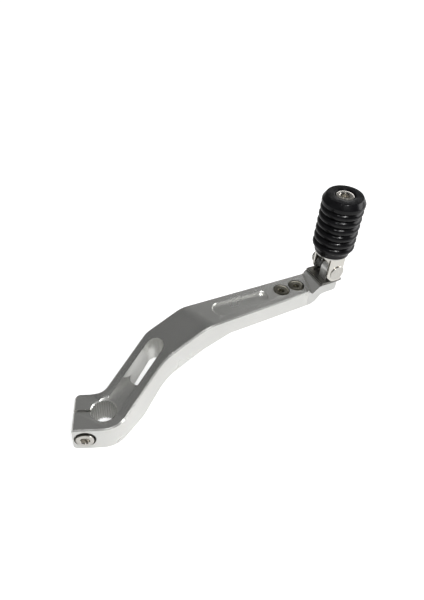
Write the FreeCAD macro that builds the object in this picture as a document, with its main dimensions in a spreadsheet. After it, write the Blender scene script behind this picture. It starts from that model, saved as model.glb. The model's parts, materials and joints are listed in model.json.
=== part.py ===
import FreeCAD, Part
import math
import os
import Sketcher

# Motorcycle gear shift lever with a folding toe peg, in millimetres.
# Origin: the axis of the splined bore, in the inboard face of the clamp boss. +X points from the bore to the
# toe peg, +Z points outboard, along the peg. The plan of the arm is drawn in the XY plane.

Vector = FreeCAD.Vector
UP = Vector(0, 0, 1)

doc = FreeCAD.newDocument("gear_shift_lever")
sheet = doc.addObject("Spreadsheet::Sheet", "Size")

SIZES = [
    # Clamp boss: a block turned about the bore axis. Its slit runs from the bore to the left face.
    ("boss_thickness", 14.0),
    ("boss_turn", -31.2),
    ("boss_near", 11.1),
    ("boss_far", 10.4),
    ("boss_left", 14.2),
    ("boss_left_round", 2.5),
    ("boss_corner_round", 3.0),
    ("bore_crest_diameter", 11.6),
    ("bore_root_diameter", 12.54),
    ("bore_teeth", 30),
    ("bore_gap_mouth", 0.75),
    ("bore_gap_floor", 0.25),
    ("bore_gap_phase", 6.0),
    ("bore_lead", 0.2),
    ("slit_width", 1.4),
    # Clamp bolt and its washers, square to the slit.
    ("clamp_offset", 8.4),
    ("clamp_counterbore", 10.4),
    ("clamp_counterbore_depth", 6.2),
    ("clamp_thread", 5.0),
    ("clamp_clearance_hole", 5.5),
    ("clamp_head", 8.5),
    ("clamp_head_height", 5.0),
    ("clamp_hex", 4.0),
    ("clamp_hex_depth", 2.5),
    ("clamp_length", 16.0),
    ("clamp_washer_diameter", 9.8),
    ("clamp_washer_thickness", 1.0),
    ("lock_washer_diameter", 9.0),
    ("lock_washer_thickness", 1.2),
    ("lock_washer_gap", 1.0),
    ("washer_hole_clearance", 0.3),
    ("thread_clearance", 0.05),
    # Plan of the arm: an inner leg, a middle stretch along X and a tapering outer leg aimed at the peg.
    ("leg_turn", 22.8),
    ("leg_near", 11.4),
    ("leg_far", 6.6),
    ("middle_near", 3.0),
    ("middle_far", 22.9),
    ("peg_reach", 142.8),
    ("outer_turn", -8.8),
    ("outer_taper", 1.585),
    ("outer_half_width", 7.46),
    ("arm_end", 13.4),
    ("arm_end_slant", 19.8),
    ("round_boss_near", 13.0),
    ("round_boss_far", 6.0),
    ("round_leg_near", 25.0),
    ("round_leg_far", 10.0),
    ("round_outer", 30.0),
    ("edge_chamfer", 0.7),
    # Side view of the arm, along the line of steepest climb.
    ("climb_turn", 15.6),
    ("ramp_start", 2.9),
    ("ramp_end", 62.9),
    ("arm_top", 33.5),
    ("ramp_round", 20.0),
    ("under_start", 17.5),
    ("under_knee", 41.5),
    ("under_knee_height", 11.8),
    ("under_end", 73.5),
    ("outer_thickness", 10.0),
    # Slot and pockets of the arm.
    ("slot_side", -2.25),
    ("slot_width", 9.1),
    ("slot_from", 25.3),
    ("slot_to", 38.7),
    ("pocket_from", -67.0),
    ("pocket_to", -42.3),
    ("pocket_radius_from", 5.0),
    ("pocket_radius_to", 3.6),
    ("pocket_depth", 1.5),
    ("pocket_rim_chamfer", 0.25),
    # Tip bracket: a tail let into the arm's underside, a seat, a lug and a tongue under the peg.
    ("tail_width", 11.0),
    ("tail_end", -37.0),
    ("tail_thickness", 4.5),
    ("tail_pocket_round", 3.0),
    ("tail_round", 4.0),
    ("tail_clearance", 0.05),
    ("bracket_half_width", 7.85),
    ("seat_rise", 1.5),
    ("tongue_end", 5.3),
    ("tongue_round", 5.0),
    ("tongue_thickness", 5.6),
    ("tongue_curve_start", -14.0),
    ("tongue_curve", 9.0),
    ("tongue_knee", -8.0),
    ("tongue_knee_drop", 0.8),
    ("tongue_level_start", -4.7),
    ("valley_near_start", -16.4),
    ("valley_near_bottom", -13.5),
    ("valley_near_depth", 2.2),
    ("valley_near_end", -9.3),
    ("valley_far_start", -10.6),
    ("valley_far_bottom", -9.8),
    ("valley_far_depth", 0.7),
    ("valley_far_end", -8.6),
    ("screw_outer", -19.8),
    ("screw_spacing", 9.8),
    ("screw_counterbore", 9.3),
    ("screw_counterbore_depth", 3.7),
    ("screw_clearance_hole", 5.3),
    ("screw_thread", 5.0),
    ("screw_head", 8.5),
    ("screw_head_height", 3.5),
    ("screw_hex", 3.0),
    ("screw_hex_depth", 2.0),
    ("screw_length", 5.9),
    # Pivot: the pin turns in a bush pressed into the lug.
    ("pivot_rise", 7.3),
    ("pin_diameter", 5.0),
    ("pin_head", 8.7),
    ("pin_head_thickness", 0.6),
    ("pin_clearance", 0.04),
    ("bush_wall", 0.71),
    ("bush_end_gap", 0.3),
    ("press_clearance", 0.01),
    ("lug_from", -5.3),
    ("lug_to", -0.1),
    ("lug_wall", 1.55),
    ("plate_thickness", 1.5),
    ("plate_from", -8.0),
    ("plate_to", 5.0),
    ("plate_half_width", 7.7),
    ("plate_clearance", 0.1),
    ("spring_wire", 1.1),
    ("spring_clearance", 0.25),
    ("spring_from", 0.9),
    ("spring_pitch", 1.27),
    ("spring_turns", 3),
    ("spring_anchor_depth", 1.6),
    ("spring_anchor_gap", 0.5),
    ("spring_hole_clearance", 0.3),
    ("clip_groove_depth", 0.5),
    ("clip_diameter", 8.4),
    ("clip_thickness", 0.7),
    ("clip_mouth", 3.2),
    ("pivot_washer_diameter", 9.0),
    ("pivot_washer_thickness", 0.6),
    ("pin_tail", 0.7),
    # Clevis: an inverted U of steel that swings on the pin.
    ("clevis_half_length", 5.15),
    ("clevis_half_width", 8.2),
    ("clevis_cheek", 2.6),
    ("clevis_bridge", 2.6),
    ("clevis_rise", 9.2),
    ("clevis_round", 2.3),
    ("clevis_gap", 0.05),
    # Toe peg: spindle riveted into the bridge, rubber sleeve, end washer and end screw.
    ("spindle_diameter", 9.0),
    ("spindle_neck", 5.5),
    ("spindle_rivet", 6.9),
    ("spindle_rivet_height", 1.0),
    ("base_washer_diameter", 17.6),
    ("base_washer_thickness", 1.0),
    ("peg_length", 35.8),
    ("collar_radius", 9.5),
    ("collar_height", 2.4),
    ("rib_radius", 11.4),
    ("rib_root_radius", 10.2),
    ("rib_width", 3.2),
    ("rib_first_rise", 2.8),
    ("rib_last_gap", 2.45),
    ("rib_count", 6),
    ("cap_radius", 11.4),
    ("cap_height", 5.4),
    ("cap_foot_chamfer", 0.6),
    ("cap_bevel_height", 2.9),
    ("cap_top_radius", 9.5),
    ("recess_diameter", 10.8),
    ("recess_depth", 4.9),
    ("rubber_clearance", 0.05),
    ("end_washer_diameter", 10.5),
    ("end_washer_thickness", 1.0),
    ("end_thread", 6.0),
    ("end_head", 9.6),
    ("end_head_height", 3.6),
    ("end_hex", 5.0),
    ("end_hex_depth", 2.6),
    ("end_length", 14.0),
    ("end_hole_depth", 17.0),
    ("small_chamfer", 0.4),
]

for row, (alias, value) in enumerate(SIZES, start=1):
    sheet.set(f"A{row}", alias)
    sheet.set(f"B{row}", str(value))
    sheet.setAlias(f"B{row}", alias)
doc.recompute()


def number(formula):
    """Value of a formula in the sheet's sizes."""
    return float(FreeCAD.Units.Quantity(sheet.evalExpression(formula)).Value)


# Heights build on one another: arm top, seat, pivot, clevis top, peg top.
OUTER_UNDER = "(Size.arm_top - Size.outer_thickness)"
SEAT_TOP = "(Size.arm_top + Size.seat_rise)"
TONGUE_UNDER = f"({SEAT_TOP} - Size.tongue_thickness)"
PLATE_TOP = f"({SEAT_TOP} + Size.plate_thickness)"
PIVOT_HEIGHT = f"({SEAT_TOP} + Size.pivot_rise)"
CLEVIS_TOP = f"({PIVOT_HEIGHT} + Size.clevis_rise)"
BRIDGE_UNDER = f"({CLEVIS_TOP} - Size.clevis_bridge)"
PEG_TOP = f"({CLEVIS_TOP} + Size.peg_length)"

# Round the pin, each piece takes its size from the one inside it.
BUSH_OUTER = "(Size.pin_diameter + 2 * Size.pin_clearance + 2 * Size.bush_wall)"
LUG_RADIUS = f"({BUSH_OUTER} / 2 + Size.lug_wall)"
SPRING_RADIUS = f"({BUSH_OUTER} / 2 + Size.spring_clearance + Size.spring_wire / 2)"
SPRING_HOLE = "(Size.spring_wire + 2 * Size.spring_hole_clearance)"
CLIP_GROOVE = "(Size.pin_diameter - 2 * Size.clip_groove_depth)"

# How far a cut runs past the material, and how far a joined block reaches into its neighbour.
OVERRUN = "5"
OVERLAP = "1"


def new_body(name, reach="0", turn="0"):
    """Body whose own origin lies at reach along X, turned by turn degrees about the vertical."""
    body = doc.addObject("PartDesign::Body", name)
    body.Label = name
    body.Placement = FreeCAD.Placement(Vector(), FreeCAD.Rotation(UP, 1))
    body.setExpression("Placement.Base.x", reach)
    body.setExpression("Placement.Rotation.Angle", turn)
    return body


def tip_body(name):
    """Body in the peg's frame: x along the outer leg, y across it, z along the peg's axis."""
    return new_body(name, "Size.peg_reach", "Size.outer_turn")


def sketch_on(body, name, role, axis, turn, base):
    """Sketch on an origin plane of the body, turned about one of the plane's axes and moved by base."""
    sketch = body.newObject("Sketcher::SketchObject", name)
    plane = [f for f in body.Origin.OriginFeatures if f.Role == role][0]
    sketch.AttachmentSupport = [(plane, "")]
    sketch.MapMode = "FlatFace"
    sketch.AttachmentOffset = FreeCAD.Placement(Vector(), FreeCAD.Rotation(axis, 1))
    sketch.setExpression("AttachmentOffset.Rotation.Angle", turn)
    for axis_name, formula in zip("xyz", base):
        sketch.setExpression(f"AttachmentOffset.Base.{axis_name}", formula)
    return sketch


def plan_sketch(body, name, height, reach="0", turn="0", across="0"):
    """Horizontal sketch at a height, with its origin at reach along X and across along Y, then turned."""
    return sketch_on(body, name, "XY_Plane", UP, turn, (reach, across, height))


def side_sketch(body, name, depth="0", along="0", height="0", turn="0"):
    """Upright sketch that looks along +y: x to the right, height up, its origin at depth along y. A turn
    about the vertical comes first, and along and depth follow the turned axes."""
    right = f"({along}) * cos({turn}) - ({depth}) * sin({turn})"
    toward = f"-({along}) * sin({turn}) - ({depth}) * cos({turn})"
    return sketch_on(body, name, "XZ_Plane", Vector(0, 1, 0), turn, (right, height, toward))


def bind(sketch, constraint, formula):
    """Add a constraint whose value follows a formula."""
    index = sketch.addConstraint(constraint)
    sketch.setExpression(f"Constraints[{index}]", formula)


def bind_point(sketch, geometry, end, x_formula, y_formula):
    """Hold one point of a sketch at a formula for each of its coordinates."""
    x = number(x_formula)
    y = number(y_formula)
    bind(sketch, Sketcher.Constraint("DistanceX", -1, 1, geometry, end, x), x_formula)
    bind(sketch, Sketcher.Constraint("DistanceY", -1, 1, geometry, end, y), y_formula)


def arc_left(start, end, radius):
    """Arc from start to end that turns left, with its centre on the left of the chord."""
    chord = end - start
    middle = (start + end) * 0.5
    rise = math.sqrt(max(radius * radius - chord.Length ** 2 / 4, 0.0))
    centre = middle + Vector(-chord.y, chord.x, 0).normalize() * rise
    first = math.atan2(start.y - centre.y, start.x - centre.x)
    last = math.atan2(end.y - centre.y, end.x - centre.x)
    return Part.ArcOfCircle(Part.Circle(centre, UP, radius), first, last)


def outline(sketch, corners):
    """Closed outline through corners (x, y). A corner with a third entry starts an arc of that radius, and a
    fourth entry says which way the arc turns."""
    count = len(corners)
    places = [Vector(number(corner[0]), number(corner[1]), 0) for corner in corners]
    ends = []
    for index, corner in enumerate(corners):
        start = places[index]
        end = places[(index + 1) % count]
        if len(corner) == 2:
            sketch.addGeometry(Part.LineSegment(start, end), False)
            ends.append((1, 2))
        elif corner[3] == "left":
            sketch.addGeometry(arc_left(start, end, number(corner[2])), False)
            ends.append((1, 2))
        else:
            sketch.addGeometry(arc_left(end, start, number(corner[2])), False)
            ends.append((2, 1))
    for index in range(count):
        following = (index + 1) % count
        sketch.addConstraint(Sketcher.Constraint(
            "Coincident", index, ends[index][1], following, ends[following][0]))
    for index, corner in enumerate(corners):
        bind_point(sketch, index, ends[index][0], corner[0], corner[1])
        if len(corner) == 4:
            bind(sketch, Sketcher.Constraint("Radius", index, number(corner[2])), corner[2])


def rectangle(sketch, left, bottom, right, top):
    """Upright rectangle between four formulas."""
    outline(sketch, [(left, bottom), (right, bottom), (right, top), (left, top)])


def circle(sketch, diameter, x="0", y="0"):
    """Circle of a diameter formula about a point."""
    radius = f"({diameter}) / 2"
    centre = Vector(number(x), number(y), 0)
    index = sketch.addGeometry(Part.Circle(centre, UP, number(radius)), False)
    bind(sketch, Sketcher.Constraint("Radius", index, number(radius)), radius)
    bind_point(sketch, index, 3, x, y)


def hexagon(sketch, across_flats):
    """Regular hexagon about the sketch's origin."""
    reach = f"{across_flats} / sqrt(3)"
    outline(sketch, [(f"{reach} * cos({60 * k})", f"{reach} * sin({60 * k})") for k in range(6)])


def slot_outline(sketch, first, last, side, first_radius, last_radius):
    """Slot along x with round ends: two arcs joined by their common tangents."""
    x_first = number(first)
    x_last = number(last)
    y = number(side)
    r_first = number(first_radius)
    r_last = number(last_radius)
    lean = math.acos((r_first - r_last) / (x_last - x_first))
    top_first = Vector(x_first + r_first * math.cos(lean), y + r_first * math.sin(lean), 0)
    top_last = Vector(x_last + r_last * math.cos(lean), y + r_last * math.sin(lean), 0)
    low_first = Vector(top_first.x, 2 * y - top_first.y, 0)
    low_last = Vector(top_last.x, 2 * y - top_last.y, 0)
    left_circle = Part.Circle(Vector(x_first, y, 0), UP, r_first)
    right_circle = Part.Circle(Vector(x_last, y, 0), UP, r_last)
    sketch.addGeometry(Part.ArcOfCircle(left_circle, lean, 2 * math.pi - lean), False)
    sketch.addGeometry(Part.LineSegment(low_first, low_last), False)
    sketch.addGeometry(Part.ArcOfCircle(right_circle, -lean, lean), False)
    sketch.addGeometry(Part.LineSegment(top_last, top_first), False)
    for curve in range(4):
        sketch.addConstraint(Sketcher.Constraint("Tangent", curve, 2, (curve + 1) % 4, 1))
    bind_point(sketch, 0, 3, first, side)
    bind_point(sketch, 2, 3, last, side)
    bind(sketch, Sketcher.Constraint("Radius", 0, r_first), first_radius)
    bind(sketch, Sketcher.Constraint("Radius", 2, r_last), last_radius)


def pad(body, name, sketch, length):
    """Material from the sketch along its normal."""
    feature = body.newObject("PartDesign::Pad", name)
    feature.Profile = sketch
    feature.setExpression("Length", length)
    doc.recompute()
    return feature


def pocket(body, name, sketch, length, along_normal=False):
    """Cut from the sketch against its normal, or along it."""
    before = body.Shape.Volume
    feature = body.newObject("PartDesign::Pocket", name)
    feature.Profile = sketch
    feature.Reversed = along_normal
    feature.setExpression("Length", length)
    doc.recompute()
    if body.Shape.Volume > before - 1e-4:
        raise RuntimeError(f"{name} cuts nothing")
    return feature


def revolve(body, name, sketch):
    """Full turn of a half section about the sketch's upright axis."""
    feature = body.newObject("PartDesign::Revolution", name)
    feature.Profile = sketch
    feature.ReferenceAxis = (sketch, ["V_Axis"])
    feature.Angle = 360
    doc.recompute()
    return feature


def disc(body, name, across, height, back, front, diameter):
    """Disc whose axis runs along the body's y, from back to front, at x across and z height."""
    sketch = side_sketch(body, f"{name}_circle", front, across, height)
    circle(sketch, diameter)
    return pad(body, name, sketch, f"({front}) - ({back})")


def bore(body, name, across, height, back, front, diameter):
    """Round hole along the body's y, from back to front, at x across and z height."""
    sketch = side_sketch(body, f"{name}_circle", back, across, height)
    circle(sketch, diameter)
    return pocket(body, name, sketch, f"({front}) - ({back})")


def dress(body, kind, name, edges, size_name, formula):
    """Fillet or chamfer on edges of the body's last feature, given by their numbers."""
    if not edges:
        raise RuntimeError(f"{name} has no edges")
    base = body.Tip
    feature = body.newObject(f"PartDesign::{kind}", name)
    feature.Base = (base, [f"Edge{index}" for index in edges])
    feature.setExpression(size_name, formula)
    doc.recompute()
    if feature.Shape.isNull():
        raise RuntimeError(f"{name} failed on {feature.Base[1]}")
    return feature


def edges_where(body, test):
    """Numbers of the edges of the body's last feature that pass a test."""
    shape = body.Tip.Shape
    return [index for index, edge in enumerate(shape.Edges, start=1) if test(edge)]


def on_upright(edge, place):
    """Whether an edge is a vertical line over a place in plan."""
    return all(math.hypot(v.X - place.x, v.Y - place.y) < 0.01 for v in edge.Vertexes) and edge.Length > 1


def round_edge_at(edge, diameter, height):
    """Whether an edge is a full circle of a diameter at a height."""
    curve = edge.Curve
    return (isinstance(curve, Part.Circle) and abs(curve.Radius * 2 - diameter) < 0.01
            and abs(curve.Center.z - height) < 0.01)


# ---------------------------------------------------------------------------------------------------------
# Lever arm
# ---------------------------------------------------------------------------------------------------------

# Walls of the plan, anticlockwise: direction in degrees, distance from the named centre with the inside on
# the left, and that centre.
WALLS = {
    "boss_near": ("Size.boss_turn", "Size.boss_near", "bore"),
    "leg_near": ("Size.leg_turn", "Size.leg_near", "bore"),
    "middle_near": ("0", "-Size.middle_near", "bore"),
    "outer_near": ("Size.outer_turn + Size.outer_taper",
                   "Size.outer_half_width * cos(Size.outer_taper)", "peg"),
    "end": ("Size.outer_turn + 90 - Size.arm_end_slant",
            "-Size.arm_end * cos(Size.arm_end_slant)", "peg"),
    "outer_far": ("Size.outer_turn - Size.outer_taper + 180",
                  "Size.outer_half_width * cos(Size.outer_taper)", "peg"),
    "middle_far": ("180", "Size.middle_far", "bore"),
    "leg_far": ("Size.leg_turn - 180", "Size.leg_far", "bore"),
    "boss_far": ("Size.boss_turn + 180", "Size.boss_far", "bore"),
    "boss_left": ("Size.boss_turn - 90", "Size.boss_left", "bore"),
}
WALL_NAMES = list(WALLS)


def wall_line(name):
    """A point on a wall and the wall's direction."""
    direction, distance, centre = WALLS[name]
    angle = math.radians(number(direction))
    along = Vector(math.cos(angle), math.sin(angle), 0)
    outward = Vector(along.y, -along.x, 0)
    start = Vector(number("Size.peg_reach") if centre == "peg" else 0.0, 0, 0)
    return start + outward * number(distance), along


def corner(first, second):
    """Plan corner where two walls cross."""
    start, along = wall_line(first)
    other, other_along = wall_line(second)
    outward = Vector(other_along.y, -other_along.x, 0)
    step = (other - start).dot(outward) / along.dot(outward)
    return start + along * step


def wall_outline(sketch):
    """Outline of the arm: each wall is held by its direction and by its distance from its centre."""
    count = len(WALL_NAMES)
    corners = [corner(WALL_NAMES[index - 1], WALL_NAMES[index]) for index in range(count)]
    for index in range(count):
        sketch.addGeometry(Part.LineSegment(corners[index], corners[(index + 1) % count]), False)
    peg = sketch.addGeometry(Part.Point(Vector(number("Size.peg_reach"), 0, 0)), True)
    bind_point(sketch, peg, 1, "Size.peg_reach", "0")
    for index, name in enumerate(WALL_NAMES):
        direction, distance, centre = WALLS[name]
        sketch.addConstraint(Sketcher.Constraint("Coincident", index, 2, (index + 1) % count, 1))
        angle = math.radians(number(direction))
        bind(sketch, Sketcher.Constraint("Angle", index, angle), f"({direction}) * 1 deg")
        reach = abs(number(distance))
        reference = (peg, 1) if centre == "peg" else (-1, 1)
        bind(sketch, Sketcher.Constraint("Distance", *reference, index, reach), f"abs({distance})")


arm = new_body("lever_arm")
plan = plan_sketch(arm, "arm_plan", "0")
wall_outline(plan)
pad(arm, "arm_prism", plan, "Size.arm_top")

PLAN_ROUNDS = [
    ("round_boss_near", [("boss_near", "leg_near")]),
    ("round_boss_far", [("leg_far", "boss_far")]),
    ("round_leg_near", [("leg_near", "middle_near")]),
    ("round_leg_far", [("middle_far", "leg_far")]),
    ("round_outer", [("middle_near", "outer_near"), ("outer_far", "middle_far")]),
    ("boss_corner_round", [("boss_far", "boss_left")]),
]
for alias, pairs in PLAN_ROUNDS:
    places = [corner(first, second) for first, second in pairs]
    chosen = edges_where(arm, lambda edge: any(on_upright(edge, place) for place in places))
    dress(arm, "Fillet", f"arm_{alias}", chosen, "Radius", f"Size.{alias}")

# The side view: the ramp is cut from above and the underside from below, along the line of steepest climb.
CUT_MARGIN = "60"
above = side_sketch(arm, "above_ramp", f"-{CUT_MARGIN}", turn="Size.climb_turn")
outline(above, [
    (f"-{CUT_MARGIN}", "Size.boss_thickness"),
    ("Size.ramp_start", "Size.boss_thickness"),
    ("Size.ramp_end", "Size.arm_top"),
    ("Size.ramp_end", f"Size.arm_top + {OVERRUN}"),
    (f"-{CUT_MARGIN}", f"Size.arm_top + {OVERRUN}"),
])
pocket(arm, "ramp_cut", above, f"2 * {CUT_MARGIN}")

below = side_sketch(arm, "below_arm", f"-{CUT_MARGIN}", turn="Size.climb_turn")
outline(below, [
    ("Size.under_start", "0"),
    ("Size.under_start", f"-{OVERRUN}"),
    (f"Size.peg_reach + {CUT_MARGIN}", f"-{OVERRUN}"),
    (f"Size.peg_reach + {CUT_MARGIN}", OUTER_UNDER),
    ("Size.under_end", OUTER_UNDER),
    ("Size.under_knee", "Size.under_knee_height"),
])
pocket(arm, "underside_cut", below, f"2 * {CUT_MARGIN}")

climb = math.radians(number("Size.climb_turn"))
climb_along = Vector(math.cos(climb), math.sin(climb), 0)
arm_top = number("Size.arm_top")
ramp_end = number("Size.ramp_end")


def is_ramp_crest(edge):
    """Whether an edge is the line where the ramp meets the outer top."""
    return all(abs(v.Z - arm_top) < 0.01 and abs(v.Point.dot(climb_along) - ramp_end) < 0.01
               for v in edge.Vertexes)


dress(arm, "Fillet", "ramp_crest_round", edges_where(arm, is_ramp_crest), "Radius", "Size.ramp_round")


def face_lift(face):
    """Upward part of a face's normal at its middle."""
    u_first, u_last, v_first, v_last = face.ParameterRange
    return face.normalAt((u_first + u_last) / 2, (v_first + v_last) / 2).z


def top_rim(shape):
    """Numbers of the edges between the upper faces and the walls, without the arm's end face."""
    tops = [face for face in shape.Faces if face_lift(face) > 0.9]
    walls = [face for face in shape.Faces if abs(face_lift(face)) < 0.01]
    end_start, end_along = wall_line("end")
    end_outward = Vector(end_along.y, -end_along.x, 0)
    numbers = []
    for index, edge in enumerate(shape.Edges, start=1):
        middle = edge.valueAt((edge.FirstParameter + edge.LastParameter) / 2)
        at_end = abs((middle - end_start).dot(end_outward)) < 0.01
        on_top = any(edge.isSame(other) for face in tops for other in face.Edges)
        on_wall = any(edge.isSame(other) for face in walls for other in face.Edges)
        if on_top and on_wall and not at_end:
            numbers.append(index)
    return numbers


dress(arm, "Chamfer", "arm_rim_chamfer", top_rim(arm.Tip.Shape), "Size", "Size.edge_chamfer")

boss_turn = math.radians(number("Size.boss_turn"))
left_outward = Vector(-math.cos(boss_turn), -math.sin(boss_turn), 0)
boss_left = number("Size.boss_left")


def is_left_foot(edge):
    """Whether an edge is the lower edge of the boss's left face."""
    return all(abs(v.Z) < 0.01 and abs(v.Point.dot(left_outward) - boss_left) < 0.01 for v in edge.Vertexes)


dress(arm, "Fillet", "boss_left_foot_round", edges_where(arm, is_left_foot), "Radius",
      "Size.boss_left_round")

# Splined bore: a round hole at the tooth crests, then one tooth gap repeated round it.
crest = plan_sketch(arm, "bore_crest", f"Size.boss_thickness + {OVERRUN}")
circle(crest, "Size.bore_crest_diameter")
pocket(arm, "bore_hole", crest, f"Size.boss_thickness + 2 * {OVERRUN}")

gap = plan_sketch(arm, "bore_gap", f"Size.boss_thickness + {OVERRUN}",
                  turn="Size.boss_turn + Size.bore_gap_phase")
outline(gap, [
    (f"Size.bore_crest_diameter / 2 - {OVERLAP}", "-Size.bore_gap_mouth / 2"),
    ("Size.bore_crest_diameter / 2", "-Size.bore_gap_mouth / 2"),
    ("Size.bore_root_diameter / 2", "-Size.bore_gap_floor / 2"),
    ("Size.bore_root_diameter / 2", "Size.bore_gap_floor / 2"),
    ("Size.bore_crest_diameter / 2", "Size.bore_gap_mouth / 2"),
    (f"Size.bore_crest_diameter / 2 - {OVERLAP}", "Size.bore_gap_mouth / 2"),
])
gap_cut = pocket(arm, "bore_gap_cut", gap, f"Size.boss_thickness + 2 * {OVERRUN}")
teeth = arm.newObject("PartDesign::PolarPattern", "bore_teeth")
teeth.Originals = [gap_cut]
teeth.Axis = (gap, ["N_Axis"])
teeth.Angle = 360
teeth.setExpression("Occurrences", "Size.bore_teeth")
arm.Tip = teeth
doc.recompute()

# A cone at the outboard mouth leads the shaft's teeth in.
lead = side_sketch(arm, "bore_lead_section")
LEAD_RADIUS = "(Size.bore_root_diameter / 2 + Size.bore_lead)"
outline(lead, [
    ("0", f"Size.boss_thickness - {LEAD_RADIUS}"),
    (f"{LEAD_RADIUS} + {OVERRUN}", f"Size.boss_thickness + {OVERRUN}"),
    ("0", f"Size.boss_thickness + {OVERRUN}"),
])
lead_cut = arm.newObject("PartDesign::Groove", "bore_lead_cut")
lead_cut.Profile = lead
lead_cut.ReferenceAxis = (lead, ["V_Axis"])
lead_cut.Angle = 360
doc.recompute()

slit = plan_sketch(arm, "slit_plan", f"Size.boss_thickness + {OVERRUN}", turn="Size.boss_turn")
rectangle(slit, f"-Size.boss_left - {OVERRUN}", "-Size.slit_width / 2", "0", "Size.slit_width / 2")
pocket(arm, "slit_cut", slit, f"Size.boss_thickness + 2 * {OVERRUN}")

# Clamp bolt hole, square to the slit: counterbore, clearance hole up to the slit, thread beyond it.
SEAT = "(-Size.boss_near + Size.clamp_counterbore_depth)"
CLAMP_HEIGHT = "Size.boss_thickness / 2"


def boss_hole(name, back, front, diameter):
    """Round hole along the clamp bolt, between two distances from the slit's middle."""
    sketch = side_sketch(arm, f"{name}_circle", back, "-Size.clamp_offset", CLAMP_HEIGHT, "Size.boss_turn")
    circle(sketch, diameter)
    pocket(arm, name, sketch, f"({front}) - ({back})")


boss_hole("clamp_counterbore_cut", f"-Size.boss_near - {OVERRUN}", SEAT, "Size.clamp_counterbore")
boss_hole("clamp_clearance_cut", SEAT, "0", "Size.clamp_clearance_hole")
boss_hole("clamp_thread_cut", "0", f"Size.boss_far + {OVERRUN}", "Size.clamp_thread")

# Slot of the inner leg: through at its upper end, and a level floor at the boss's height from there to the
# bore.
slot = plan_sketch(arm, "slot_plan", f"Size.arm_top + {OVERRUN}", turn="Size.leg_turn")
SLOT_RADIUS = "Size.slot_width / 2"
slot_outline(slot, "Size.slot_from", "Size.slot_to", "Size.slot_side", SLOT_RADIUS, SLOT_RADIUS)
pocket(arm, "slot_cut", slot, f"Size.arm_top + 2 * {OVERRUN}")

floor = plan_sketch(arm, "slot_floor", f"Size.arm_top + {OVERRUN}", turn="Size.leg_turn")
slot_outline(floor, "0", "Size.slot_from", "Size.slot_side", SLOT_RADIUS, SLOT_RADIUS)
pocket(arm, "slot_floor_cut", floor, f"Size.arm_top + {OVERRUN} - Size.boss_thickness")

# Shallow pocket of the outer leg, the pocket for the bracket's tail and the two counterbored holes.
OUTER = ("Size.peg_reach", "Size.outer_turn")
dish = plan_sketch(arm, "dish_plan", "Size.arm_top", *OUTER)
slot_outline(dish, "Size.pocket_from", "Size.pocket_to", "0",
             "Size.pocket_radius_from", "Size.pocket_radius_to")
pocket(arm, "dish_cut", dish, "Size.pocket_depth")

outer_turn = math.radians(number("Size.outer_turn"))
outer_along = Vector(math.cos(outer_turn), math.sin(outer_turn), 0)
peg_foot = Vector(number("Size.peg_reach"), 0, 0)
dish_from = number("Size.pocket_from - Size.pocket_radius_from")
dish_to = number("Size.pocket_to + Size.pocket_radius_to")
dish_half = number("Size.pocket_radius_from")


def is_dish_rim(edge):
    """Whether an edge is part of the shallow pocket's rim."""
    for vertex in edge.Vertexes:
        offset = vertex.Point - peg_foot
        along = offset.dot(outer_along)
        across = abs(offset.x * outer_along.y - offset.y * outer_along.x)
        if abs(vertex.Z - arm_top) > 0.01 or across > dish_half + 0.01:
            return False
        if along < dish_from - 0.01 or along > dish_to + 0.01:
            return False
    return True


dress(arm, "Chamfer", "dish_rim_chamfer", edges_where(arm, is_dish_rim), "Size", "Size.pocket_rim_chamfer")

tail_seat = plan_sketch(arm, "tail_pocket_plan", OUTER_UNDER, *OUTER)
HALF_TAIL = "Size.tail_width / 2"
outline(tail_seat, [
    ("0", f"-{HALF_TAIL}"),
    ("0", HALF_TAIL),
    ("Size.tail_end + Size.tail_pocket_round", HALF_TAIL, "Size.tail_pocket_round", "left"),
    ("Size.tail_end", f"{HALF_TAIL} - Size.tail_pocket_round"),
    ("Size.tail_end", f"-{HALF_TAIL} + Size.tail_pocket_round", "Size.tail_pocket_round", "left"),
    ("Size.tail_end + Size.tail_pocket_round", f"-{HALF_TAIL}"),
])
pocket(arm, "tail_pocket_cut", tail_seat, "Size.tail_thickness", along_normal=True)

SCREW_PLACES = ("Size.screw_outer", "Size.screw_outer - Size.screw_spacing")
counterbores = plan_sketch(arm, "screw_counterbores", "Size.arm_top", *OUTER)
holes = plan_sketch(arm, "screw_holes", "Size.arm_top", *OUTER)
for place in SCREW_PLACES:
    circle(counterbores, "Size.screw_counterbore", place)
    circle(holes, "Size.screw_clearance_hole", place)
pocket(arm, "counterbore_cut", counterbores, "Size.screw_counterbore_depth")
pocket(arm, "screw_hole_cut", holes, "Size.outer_thickness")


# ---------------------------------------------------------------------------------------------------------
# Clamp bolt and washers, in the boss's own turned frame: y runs from the near face to the far face.
# ---------------------------------------------------------------------------------------------------------


def boss_body(name):
    """Body turned with the boss."""
    return new_body(name, "0", "Size.boss_turn")


def ring(body, name, across, height, back, front, outer, inner):
    """Flat ring about an axis along the body's y."""
    sketch = side_sketch(body, f"{name}_circles", front, across, height)
    circle(sketch, outer)
    circle(sketch, inner)
    return pad(body, name, sketch, f"({front}) - ({back})")


ACROSS = "-Size.clamp_offset"
WASHER_BACK = f"({SEAT} - Size.clamp_washer_thickness)"
HEAD_SEAT = f"({WASHER_BACK} - Size.lock_washer_thickness)"
WASHER_HOLE = "Size.clamp_thread + 2 * Size.washer_hole_clearance"

clamp_washer = boss_body("clamp_washer")
ring(clamp_washer, "clamp_washer_ring", ACROSS, CLAMP_HEIGHT, WASHER_BACK, SEAT,
     "Size.clamp_washer_diameter", WASHER_HOLE)

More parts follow.
